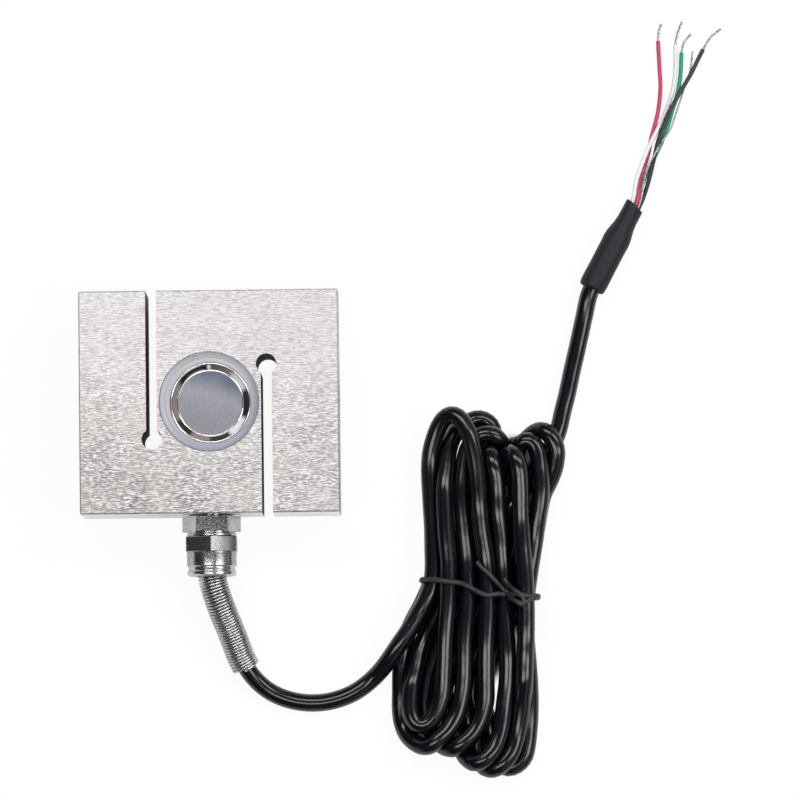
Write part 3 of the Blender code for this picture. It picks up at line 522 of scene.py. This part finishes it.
def makeCores():
    made = {}
    for colour in ("red", "white", "green", "black"):
        wire = coreRoutes[colour]
        mouth, line = coreLine(wire, coreRoutes["coreStep"])
        core = standsFor(makeTubes(colour + "Core", [line], coreRoutes["diameter"], 3), colour + "_wire")
        bare = np.concatenate([line[-3:-1], fromExit(wire["tip"], lowest["core"])])
        tip = makeStrands(colour + "Tip", smoothPath(bare, coreRoutes["tipStep"]), coreRoutes["conductor"],
                          coreRoutes["tipTwist"])
        standsFor(tip, colour + "_wire_tip")
        made[colour] = (core, tip)
    mouth, line = coreLine(coreRoutes["drainWire"], coreRoutes["drainStep"])
    drain = standsFor(makeStrands("drainWire", line, coreRoutes["drain"], coreRoutes["drainTwist"]), "drain_wire")
    made["drain"] = (drain,)
    return made


cores = makeCores()
print("cores and drain wire made")


# pieces turned or drawn from a primitive

def openMesh():
    bpy.ops.object.mode_set(mode="EDIT")
    bpy.ops.mesh.select_all(action="SELECT")


def closeMesh():  # all its faces point outwards
    bpy.ops.mesh.select_all(action="SELECT")
    bpy.ops.mesh.normals_make_consistent(inside=False)
    bpy.ops.object.mode_set(mode="OBJECT")


def turnedShape(name, profile, sides, ring=True):
    # a circle pulled along its axis to each radius and height; a ring is closed on itself
    bpy.ops.object.select_all(action="DESELECT")
    start, foot = profile[0]
    bpy.ops.mesh.primitive_circle_add(vertices=sides, radius=start * mm, location=(0, 0, foot * mm))
    piece = bpy.context.active_object
    piece.name = name
    bpy.ops.object.transform_apply()
    openMesh()
    for (radius, height), (nextRadius, nextHeight) in zip(profile, profile[1:]):
        bpy.ops.mesh.extrude_edges_move(TRANSFORM_OT_translate={"value": (0, 0, (nextHeight - height) * mm)})
        grown = nextRadius / radius
        bpy.ops.transform.resize(value=(grown, grown, 1), center_override=(0, 0, nextHeight * mm))
    bpy.ops.mesh.select_all(action="DESELECT")
    bpy.ops.mesh.select_mode(type="EDGE")
    bpy.ops.mesh.select_non_manifold()
    if ring:
        bpy.ops.mesh.bridge_edge_loops()
    else:
        bpy.ops.mesh.select_all(action="SELECT")
        bpy.ops.mesh.fill_holes(sides=0)
    closeMesh()
    return piece


def settle(piece, turn, place, angle):  # put in place, and shaded smooth
    onlyThis(piece)
    piece.rotation_euler = turn
    piece.location = place
    bpy.ops.object.transform_apply()
    bpy.ops.object.shade_smooth_by_angle(angle=math.radians(angle))


def rounded(corners, steps=4):
    # (radius, height, rounding) corners made into a profile
    chain = [Vector(corner[:2]) for corner in corners]
    result = []
    for number, corner in enumerate(corners):
        here = chain[number]
        if len(corner) < 3:
            result.append(tuple(here))
            continue
        before, after = chain[number - 1] - here, chain[number + 1] - here
        reach = min(corner[2], 0.49 * before.length, 0.49 * after.length)
        first, last = here + before.normalized() * reach, here + after.normalized() * reach
        for step in range(steps + 1):
            share = step / steps
            result.append(tuple((1 - share) ** 2 * first + 2 * share * (1 - share) * here + share ** 2 * last))
    return result


# front and back cup, pressed and polished, in their potting

cupValues = {
    "sides": 160, "shift": 0.3, "face": 19,
    "follow": (9.3, 11.14),  # radii between which the potting leaves the cup for the bore
    # radius, height from the block's face, rounding, in millimetres
    "section": [(0.2, -1.55), (7.3, -1.55, 0.08), (7.38, -1.44, 0.05), (7.5, -1.44, 0.05), (7.6, -1.52, 0.05),
        (8.72, -0.5, 0.18), (9.02, -0.32, 0.16), (9.25, -0.52, 0.14), (9.25, -3.9), (8.8, -3.9), (8.8, -1.15),
        (7.3, -2.1), (0.2, -2.1)],
    "potting": [(9.3, -2.9), (9.3, -0.62), (9.55, -0.52, 0.1), (10.05, -0.6, 0.2), (10.45, -0.5, 0.2),
        (10.9, -0.3, 0.2), (11.28, -0.06, 0.05), (11.28, -2.9)],
}


def makeCups():
    made = []
    shift = cupValues["shift"]
    for side, turn, place in (("front", 0, (shift, -shift, cupValues["face"])), ("back", math.pi, (0, 0, 0))):
        cup = turnedShape(side + "Cup", rounded(cupValues["section"]), cupValues["sides"], ring=False)
        settle(cup, (turn, 0, 0), [value * mm for value in place], 50)
        potting = turnedShape(side + "Potting", rounded(cupValues["potting"]), cupValues["sides"])
        for vert in potting.data.vertices:  # the ring's inner edge follows the cup, its outer one the bore
            share = np.interp(math.hypot(vert.co.x, vert.co.y) / mm, cupValues["follow"], (1, 0))
            vert.co.x += place[0] * mm * share
            vert.co.y += place[1] * mm * share
        settle(potting, (turn, 0, 0), (0, 0, place[2] * mm), 60)
        made.append((standsFor(cup, side + "_cup"), standsFor(potting, side + "_potting_ring")))
    return made


cups = makeCups()
print("cups and potting made")


# cable gland

glandValues = {
    "face": -25.55, "height": 9.5, "sides": 96, "edge": 0.14, "way": 4.45, "waySides": 48,
    # hexagons: width over the flats, start, end, and turn in degrees
    "bodyHexagon": (11.7, 0.3, 3.9, 30), "nutHexagon": (11.6, 4.97, 8.46, 0),
    "body": [(2.35, -5.5), (3.45, -5.5, 0.2), *[(3.4 if step % 2 else 3.7, -5.2 + 0.4 * step) for step in range(10)],
        (3.4, 0.4), (5.1, 0.4), (5.1, 4.15), (5.42, 4.15, 0.12), (5.7, 4.3, 0.12), (5.7, 4.8, 0.12), (5.5, 4.87),
        (4.2, 4.87), (4.2, 8.4), (2.35, 8.4)],
    "nut": [(2.75, 12.3), (2.75, 10.2), (4.5, 10.2), (4.5, 4.98), (5.1, 4.98), (5.1, 8.3), (5.5, 8.3),
        (5.7, 8.55, 0.12), (5.7, 11.72, 0.14), (5.36, 11.92, 0.12), (5.36, 12.72, 0.12), (5.6, 12.95, 0.18),
        (5.6, 13.75, 0.35), (5.1, 14.03, 0.2), (3.65, 14.03, 0.15), (3.6, 13.8), (3.6, 12.3)],
}


def makeHexagon(name, flats, start, end, turn):
    # a six-sided bar, its edges broken, with the cable's way cut through it
    bpy.ops.object.select_all(action="DESELECT")
    long = (end - start) * mm
    bpy.ops.mesh.primitive_cylinder_add(vertices=6, radius=flats / math.sqrt(3) * mm, depth=long,
                                        location=(0, 0, start * mm + long / 2))
    piece = bpy.context.active_object
    piece.name = name
    piece.rotation_euler = (0, 0, math.radians(turn))
    bpy.ops.object.transform_apply()
    openMesh()
    bpy.ops.mesh.bevel(offset=glandValues["edge"] * mm, segments=2, affect="EDGES")
    closeMesh()
    way = glandValues["way"]
    hole = turnedShape("hole", [(way, start - 2), (way, end + 2)], glandValues["waySides"], ring=False)
    onlyThis(piece)
    cut = piece.modifiers.new("hole", "BOOLEAN")
    cut.object = hole
    bpy.ops.object.modifier_apply(modifier="hole")
    bpy.data.objects.remove(hole, do_unlink=True)
    return piece


def joined(first, others):
    onlyThis(first)
    for piece in others:
        piece.select_set(True)
    bpy.ops.object.join()
    return first


def makeGland():
    made = []
    for part, name in (("body", "glandBody"), ("nut", "glandNut")):
        piece = turnedShape(name, rounded(glandValues[part]), glandValues["sides"])
        joined(piece, [makeHexagon(part + "Hexagon", *glandValues[part + "Hexagon"])])
        settle(piece, (math.pi / 2, 0, 0), (0, glandValues["face"] * mm, glandValues["height"] * mm), 18)
        made.append(standsFor(piece, "gland_" + part))
    return made


gland = makeGland()
print("gland made")


# spring guard, wound along the cable

guardValues = {
    "diameter": 6.6 * mm, "wire": 0.64 * mm, "pitch": 0.665 * mm, "from": 12.2 * mm, "length": 25 * mm,
    "stepsPerTurn": 22, "axisStep": 0.2 * mm,
    "along": 90,  # how many of the cable's points its start is sought on
}


def makeGuard():
    fine = smoothPath(cablePath[:guardValues["along"]], guardValues["axisStep"])
    start = np.array((0, glandValues["face"] * mm - guardValues["from"], glandValues["height"] * mm))
    leaves = int(np.argmin(np.linalg.norm(fine - start, axis=1)))
    axis = fine[leaves:leaves + round(guardValues["length"] / guardValues["axisStep"])]
    axis = evenSteps(axis, guardValues["pitch"] / guardValues["stepsPerTurn"])
    turned = 2 * math.pi * np.arange(len(axis)) / guardValues["stepsPerTurn"]
    coil = woundRound(axis, (guardValues["diameter"] - guardValues["wire"]) / 2, turned)
    return standsFor(makeTubes("springGuard", [coil], guardValues["wire"], 2), "spring_guard")


guard = makeGuard()
print("spring guard wound")


# heat-shrink sleeve

sleeveValues = {
    "sides": 64,
    # radius and distance from the cable's end, drawn in where it grips the cores
    "outside": [(2.72, 0), (2.86, 0.05), (3.06, 0.5), (3.15, 2), (3.13, 5), (3.17, 8), (3.12, 11), (3.16, 12.6),
        (3.05, 13.8), (2.78, 15.2), (2.52, 16.4), (2.38, 17.8), (2.33, 19.6), (2.3, 21.5), (2.24, 21.75),
        (2.08, 21.8)],
    "inside": [(1.95, 21.6), (1.92, 17.6), (2.3, 15.6), (2.6, 13.4), (2.6, 0.3)],
    # not quite round, three-sided where it is drawn in, with a slanting end
    "oval": (0.012, 0.6), "threeSided": (0.035, 0.2), "drawn": (12.5, 16.5), "slant": 0.1, "slantFrom": 19,
}


def makeSleeve():
    sleeve = turnedShape("shrinkSleeve", sleeveValues["outside"] + sleeveValues["inside"], sleeveValues["sides"])
    (oval, ovalTurn), (three, threeTurn) = sleeveValues["oval"], sleeveValues["threeSided"]
    for vert in sleeve.data.vertices:
        long = vert.co.z / mm
        angle = math.atan2(vert.co.y, vert.co.x)
        sided = three * np.interp(long, sleeveValues["drawn"], (0, 1))
        swell = 1 + oval * math.sin(2 * angle + ovalTurn * long) + sided * math.sin(3 * angle + threeTurn * long)
        vert.co.x *= swell
        vert.co.y *= swell
        vert.co.z += sleeveValues["slant"] * max(0, long - sleeveValues["slantFrom"]) * vert.co.x
    settle(sleeve, sleeveWay.to_track_quat("Z", "Y").to_euler(), sleeveStart, 60)
    return standsFor(sleeve, "heat_shrink_sleeve")


sleeve = makeSleeve()
print("sleeve made")


# twist tie round the hank

tieValues = {
    "width": 1.25 * mm, "looseShare": 0.86, "under": 0.75, "step": 0.5 * mm, "fineStep": 0.3 * mm,
    "bridge": 0.55,  # how far it spans the valleys between the runs
    # millimetres from the exit, over the hank; heights are kept clear of the cable
    "over": [(48.3, -1.25), (48.8, -1.3), (50.2, -1.3), (52, -1.5), (54, -1.9), (56.8, -2.2), (58.6, -2.9),
        (60, -3.7), (61.6, -4.6), (63, -5.1), (65.6, -4.8), (67.9, -5), (70.3, -5), (72.4, -5.5), (73.6, -5.5),
        (74.3, -5.5)],
    # what hangs loose, and how far each piece lies over the cable
    "tail": [(60.8, 2.5), (61.9, 1.2), (63.2, 0.1), (65.7, -2.7), (67.4, -4.3), (68.6, -4.8)],
    "second": [(66.9, -1.3), (67.8, -2.6), (69.2, -4), (70.6, -5.2), (71.4, -6.4), (71, -7.4), (69.9, -6.9)],
    "third": [(68.2, -5.6), (69.6, -6.6), (71.2, -7), (72.6, -6.4), (73.6, -5.9)],
    "lifts": {"tail": 0.5, "second": 0.9, "third": 0.7},
}


def restHeight(x, y, radius):  # how high a round thing lies on the cable at x, y
    gap = np.hypot(cablePath[:, 0] - x, cablePath[:, 1] - y)
    reach = cableRoute["diameter"] / 2 + radius
    close = gap < reach
    if not close.any():
        return radius
    return float((cablePath[close, 2] + np.sqrt(reach ** 2 - gap[close] ** 2)).max())


def layOver(route, lift=0):
    flat = smoothPath(fromExit(route, 0), tieValues["step"])
    heights = np.array([restHeight(x, y, tieValues["width"] / 2) for x, y, z in flat]) + lift
    bridge = tieValues["bridge"]
    for again in range(2):  # a stiff wire bridges the valleys
        wide = np.array([heights[max(0, i - 2):i + 3].max() for i in range(len(heights))])
        heights = np.maximum(heights, bridge * wide + (1 - bridge) * heights)
    heights[1:-1] = np.maximum(heights[1:-1], 0.5 * (heights[:-2] + heights[2:]))
    flat[:, 2] = heights
    return flat


def beside(end, steps):  # points to the right of and behind an end of the tie
    return [(end[0] + x * mm, end[1] + y * mm, z * mm) for x, y, z in steps]


def makeTie():
    over = layOver(tieValues["over"])
    left, right = over[0], over[-1]
    under = tieValues["under"]
    down = beside(right, [(0.35, 0, right[2] / mm - 1), (0.4, 0, 5.2), (0.4, 0, 2.6), (-0.2, 0, 1.3),
                          (-1.6, 0.1, 0.85), (-4, 0.2, under)])
    up = beside(left, [(4, 0, under), (1.6, 0, 0.85), (0.2, 0, 1.3), (-0.25, 0, 2.6), (-0.25, 0, 5),
                       (-0.15, 0, left[2] / mm - 1)])
    lines = [np.concatenate([over, down, up, over[:1]])]
    lines += [layOver(tieValues[name], lift * mm) for name, lift in tieValues["lifts"].items()]
    pieces = []
    for number, line in enumerate(lines):  # the loop, then what hangs loose
        wide = tieValues["width"] * (tieValues["looseShare"] if number else 1)
        pieces.append(makeTubes("twistTie", [smoothPath(line, tieValues["fineStep"])], wide, 3))
    return standsFor(joined(pieces[0], pieces[1:]), "twist_tie")


tie = makeTie()
print("tie made")


# threads in the load holes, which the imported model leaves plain

threadValues = {
    "outside": 5.13, "inside": 4.66, "foot": 1.08, "crest": 0.22, "pitch": 1.75, "turns": 5, "steps": 40,
    "from": 1.1, "runOut": 0.3, "end": 29.7, "height": 9.5,
}


def makeThread(name, side):
    # the ridge's section, standing beside the axis, wound up the hole and run out at both ends
    keys = ("outside", "inside", "foot", "pitch", "runOut")
    outside, inside, foot, pitch, runOut = [threadValues[key] * mm for key in keys]
    bpy.ops.object.select_all(action="DESELECT")
    middle = (outside + inside) / 2
    bpy.ops.mesh.primitive_plane_add(size=1, location=(middle, 0, 0), rotation=(math.pi / 2, 0, 0))
    thread = bpy.context.active_object
    thread.name = name
    thread.scale = (outside - inside, foot, 1)
    bpy.ops.object.transform_apply()
    for vert in thread.data.vertices:
        if vert.co.x < middle:
            vert.co.z *= threadValues["crest"] / threadValues["foot"]
    openMesh()
    bpy.ops.mesh.delete(type="ONLY_FACE")
    bpy.ops.object.mode_set(mode="OBJECT")
    wind = thread.modifiers.new("wind", "SCREW")
    wind.screw_offset = pitch
    wind.iterations = threadValues["turns"]
    wind.steps = wind.render_steps = threadValues["steps"]
    bpy.ops.object.modifier_apply(modifier="wind")
    high = pitch * threadValues["turns"]
    for vert in thread.data.vertices:
        radius = math.hypot(vert.co.x, vert.co.y)
        share = min(1, max(0, vert.co.z / runOut), max(0, (high - vert.co.z) / runOut))
        grown = (outside + share * (radius - outside)) / radius
        vert.co.x *= grown
        vert.co.y *= grown
    openMesh()
    bpy.ops.mesh.fill_holes(sides=4)
    closeMesh()
    place = (side * (threadValues["end"] - threadValues["from"]) * mm, 0, threadValues["height"] * mm)
    settle(thread, (0, -side * math.pi / 2, 0), place, 25)
    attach(thread, "root")
    return thread


threads = [makeThread("rightThread", 1), makeThread("leftThread", -1)]
print("threads cut")


# finishes

def nickelPlate():
    # ground and plated: short wavy streaks along X, random dull patches, painted shade darkening it towards -X and
    # -Y, dark spark-cut slots
    look = Finish("nickel_plate", {"Metallic": 1})
    x, y, z = look.axes()
    wave = look.noise((420, 420, 60), 1)
    wavy = look.node("CombineXYZ", {}, {0: x * 760, 1: y * 4700 + wave * 3.4, 2: z * 4700})
    streaks = look.noise(1, 3, 0.62, vector=wavy)
    fine = look.noise((1500, 6500, 6500), 1)
    patches = look.noise(110, 3)
    # painted shade: the block is painted darker and duller towards -X and -Y
    left = look.between(x, 6 * mm, -29.7 * mm)
    low = look.between(y, 20 * mm, -25.5 * mm)
    paintedShade = low * 0.8 + low * left * 0.3
    grain = look.between(streaks * 0.74 + fine * 0.26 - paintedShade * 0.035, 0.39, 0.61)
    dullAndShade = look.between(patches + 0.1 * left + 0.16 * low, 0.42, 0.86)
    dark = look.mix(paintedShade, (0.44, 0.415, 0.4), (0.15, 0.14, 0.135))
    light = look.mix(grain, dark, (0.91, 0.875, 0.855))
    tone = look.mix(dullAndShade * 0.5, light, (0.5, 0.48, 0.455))
    slots = None
    for side in (1, -1):  # the slot and its relief hole
        off = look.maths("ABSOLUTE", x + side * 13.15 * mm)
        inSlot = look.between(off, 1.33 * mm, 1.27 * mm) * look.between(y * side, -8 * mm, -7.9 * mm)
        away = look.maths("SQRT", off * off + (y * side + 8.5 * mm) ** 2)
        inHole = look.between(away, 2.43 * mm, 2.37 * mm)
        both = look.maths("MAXIMUM", inSlot, inHole)
        slots = both if slots is None else look.maths("MAXIMUM", slots, both)
    slots = slots * look.between(z, 18.97 * mm, 18.8 * mm)
    soot = look.mix(look.noise(700), (0.045, 0.026, 0.022), (0.12, 0.078, 0.07))
    mouth = look.between(look.maths("ABSOLUTE", y), 10 * mm, 25.5 * mm)
    soot = look.mix(mouth, soot, (0.2, 0.17, 0.165))
    # painted highlight: the side face towards -Y is painted nearly white
    edge = look.between(y, -25.49 * mm, -25.54 * mm)
    tone = look.mix(edge * 0.8, tone, (0.95, 0.94, 0.93))
    look.feed("Metallic", 1 - slots * 0.7)
    tone = look.mix(slots, tone, soot)
    return look.surface(tone, look.maths("MAXIMUM", 0.44 - grain * 0.1 + dullAndShade * 0.1 - edge * 0.28, slots * 0.62),
                        streaks * 0.8 + fine * 0.2, 0.02 * mm)


def polishedSteel():
    # pressed cup: brushed floor, mirror wall
    look = Finish("polished_steel", {"Metallic": 1})
    x, y, z = look.axes()
    away = look.maths("SQRT", (x - 0.3 * mm) ** 2 + (y + 0.3 * mm) ** 2)
    floor = look.between(away, 7.38 * mm, 7.32 * mm)
    brushed = look.noise((3600, 900, 900), turn=-0.7)
    cloud = look.noise(160)
    tone = look.mix(look.between(brushed, 0.3, 0.7), (0.315, 0.315, 0.34), (0.375, 0.375, 0.4))
    # painted shade, clouded: the cup's floor is darker and bluer towards +Y and +X
    tone = look.mix(look.between(cloud * 0.35 + y * 85 + x * 25, 0.25, 0.75), tone, (0.115, 0.13, 0.17))
    tone = look.mix(floor, (0.8, 0.78, 0.77), tone)
    return look.surface(tone, floor * 0.27 + 0.07, brushed * floor, 0.003 * mm, 0.3)


def pottingSilicone():
    # cloudy compound, in faint rings, paler beside the cup, with a few specks at the bore
    look = Finish("silicone", {"IOR": 1.42})
    x, y, z = look.axes()
    away = look.maths("SQRT", x * x + y * y)
    cloud = look.noise(420, 3)
    bands = look.ramp(look.between(away + cloud * 0.12 * mm, 9.15 * mm, 11.2 * mm),
                      [(0, 0.44, 0.43, 0.43), (0.3, 0.52, 0.51, 0.525), (0.42, 0.34, 0.34, 0.365),
                       (0.55, 0.4, 0.4, 0.435), (0.85, 0.43, 0.43, 0.47), (1, 0.4, 0.4, 0.43)])
    # painted shade: the ring is darker and bluer towards -Y and +X
    shade = look.between(y - x * 0.5, -9 * mm, 4 * mm)
    tone = look.mix(shade, look.mix(0.45, bands, (0.22, 0.25, 0.31)), bands)
    spots = look.node("TexVoronoi", {"feature": "F1"}, {"Vector": look.place(), "Scale": 260})
    speck = look.between(spots, 0.14, 0.1) * look.between(away, 10.6 * mm, 10.9 * mm)
    return look.surface(look.mix(speck, tone, (0.02, 0.02, 0.03)), 0.28 + cloud * 0.14, cloud, 0.05 * mm)


def nickelBrass():
    # plated brass: drawn flats, a little frosting and pitting
    look = Finish("nickel_brass", {"Metallic": 1})
    frost = look.noise(2600, 3, 0.7)
    marks = look.noise((5200, 700, 5200))
    pits = look.between(look.noise(1500), 0.6, 0.72)
    tone = look.mix(look.between(frost, 0.35, 0.65), (0.46, 0.44, 0.435), (0.63, 0.61, 0.605))
    x, y, z = look.axes()
    # painted reflection of the dark room: the first hexagon's upper flat and the barrel are painted darker, in coarse
    # speckles
    paintedDarkFlat = look.between(z, 15.22 * mm, 15.3 * mm) * look.between(y, -29.5 * mm, -29.4 * mm)
    paintedDarkBarrel = look.between(y, -37.3 * mm, -37.2 * mm) * look.between(y, -34 * mm, -34.1 * mm)
    coarse = look.between(frost, 0.42, 0.6)
    tone = look.mix(paintedDarkFlat, tone, look.mix(coarse, (0.04, 0.036, 0.036), (0.27, 0.26, 0.255)))
    tone = look.mix(paintedDarkBarrel, tone, look.mix(coarse, (0.28, 0.27, 0.265), (0.6, 0.58, 0.57)))
    tone = look.mix(pits * 0.7, tone, (0.22, 0.2, 0.2))
    return look.surface(tone, 0.14 + frost * 0.12 + pits * 0.15 + paintedDarkFlat * 0.2 + paintedDarkBarrel * 0.03,
                        frost * 0.6 + marks * 0.4, 0.008 * mm)


def springSteel():
    look = Finish("spring_steel", {"Metallic": 1})
    drawn = look.noise(2200)
    tone = look.mix(look.between(drawn, 0.3, 0.7), (0.34, 0.325, 0.325), (0.6, 0.575, 0.57))
    return look.surface(tone, 0.22 + drawn * 0.14, drawn, 0.004 * mm, 0.4)


def cableJacket():
    # glossy black compound with the slow waviness of an extruded jacket
    look = Finish("cable_jacket", {"IOR": 1.48})
    slow = look.noise(230, 1)
    fine = look.noise(3200)
    tone = look.mix(slow, (0.0018, 0.0018, 0.0034), (0.0045, 0.0045, 0.0075))
    return look.surface(tone, 0.13 + fine * 0.1, slow * 0.9 + fine * 0.02, 0.16 * mm)


def tieCover():
    # ribbed plastic over a soft wire
    look = Finish("tie_cover")
    x, y, z = look.axes()
    ribs = look.maths("SINE", x * 11000 + y * 5200) * 0.5 + 0.5
    dust = look.noise(1800, 3)
    tone = look.mix(dust, (0.013, 0.013, 0.017), (0.036, 0.036, 0.043))
    return look.surface(tone, 0.36 + dust * 0.25, ribs * 0.6 + dust * 0.4, 0.05 * mm, 0.6)


def shrinkTube():
    # matt polyolefin, wrinkled a little where it is drawn in
    look = Finish("shrink_tube", {"IOR": 1.38})
    skin = look.noise(2600, 3)
    folds = look.noise((900, 120, 900), turn=-0.49)
    tone = look.mix(skin, (0.005, 0.005, 0.009), (0.011, 0.011, 0.018))
    return look.surface(tone, 0.42 + skin * 0.2, folds * 0.7 + skin * 0.12, 0.16 * mm, 0.6)


def coreSkin(name, dark, light):
    look = Finish(name)
    mottled = look.noise(900)
    fine = look.noise(5200, 1)
    tone = look.mix(mottled, dark, light)
    return look.surface(tone, 0.3 + fine * 0.16, mottled * 0.8 + fine * 0.2, 0.03 * mm)


def plainSurface(name, dark, light, rough, metallic=0, scale=1500, height=0.02 * mm):
    look = Finish(name, {"Metallic": metallic})
    spots = look.noise(scale, 3)
    tone = look.mix(look.between(spots, 0.35, 0.65), dark, light)
    return look.surface(tone, rough + spots * 0.15, spots, height)


def boardLaminate():
    # green laminate with tinned pads, which stand a little proud of it
    look = Finish("board_laminate")
    x, y, z = look.axes()
    weave = look.node("TexWave", {"wave_type": "BANDS"}, {"Vector": look.place(), "Scale": 900, "Distortion": 1.5})
    pads = look.between(z, 3.43 * mm, 3.47 * mm)
    look.feed("Metallic", pads)
    tone = look.mix(pads, look.mix(weave, (0.02, 0.18, 0.07), (0.03, 0.26, 0.11)), (0.62, 0.61, 0.58))
    return look.surface(tone, 0.42 - pads * 0.14, weave, 0.01 * mm, 0.4)


def gaugeFoil():
    # etched grid on an amber carrier
    look = Finish("gauge_foil")
    x, y, z = look.axes()
    lines = look.between(look.maths("SINE", z * 14000), -0.1, 0.1)
    middle = look.between(look.maths("ABSOLUTE", z - 9.5 * mm), 1.75 * mm, 1.7 * mm)
    foil = lines * middle
    look.feed("Metallic", foil)
    tone = look.mix(foil, (0.58, 0.28, 0.05), (0.66, 0.5, 0.32))
    return look.surface(tone, 0.42 - foil * 0.12, foil, 0.01 * mm)


def dressAll():
    nickel = nickelPlate()
    tinned = plainSurface("tinned_copper", (0.26, 0.25, 0.26), (0.56, 0.55, 0.55), 0.3, 1, 2600, 0.01 * mm)
    enamel = plainSurface("lead_enamel", (0.3, 0.08, 0.03), (0.52, 0.18, 0.06), 0.28)
    rubber = plainSurface("rubber", (0.012, 0.012, 0.012), (0.035, 0.034, 0.034), 0.62)
    dress([nodes["body_block"]], nickel)
    dress(threads, nickel)
    dress([cup for cup, ring in cups], polishedSteel())
    dress([ring for cup, ring in cups], pottingSilicone())
    dress(gland, nickelBrass())
    dress([guard], springSteel())
    dress([cable], cableJacket())
    dress([tie], tieCover())
    dress([sleeve], shrinkTube())
    tones = {"red": ((0.5, 0.028, 0.075), (0.66, 0.06, 0.13)), "white": ((0.7, 0.71, 0.745), (0.85, 0.86, 0.885)),
             "green": ((0.01, 0.25, 0.12), (0.02, 0.38, 0.19)),
             "black": ((0.01, 0.01, 0.012), (0.028, 0.028, 0.032))}
    for colour, (dark, light) in tones.items():
        core, tip = cores[colour]
        dress([core], coreSkin("core_" + colour, dark, light))
        dress([tip], tinned)
    dress(cores["drain"], tinned)
    dress([nodes["terminal_board"]], boardLaminate())
    dress([nodes[f"strain_gauge_{number}"] for number in range(1, 5)], gaugeFoil())
    dress([nodes[f"{kind}_lead_{number}"] for kind in ("gauge", "cable_core") for number in range(1, 5)], enamel)
    dress([nodes["gland_sealing_ring"], nodes["gland_seal"]], rubber)


dressAll()
print("finishes applied")

bpy.context.view_layer.update()
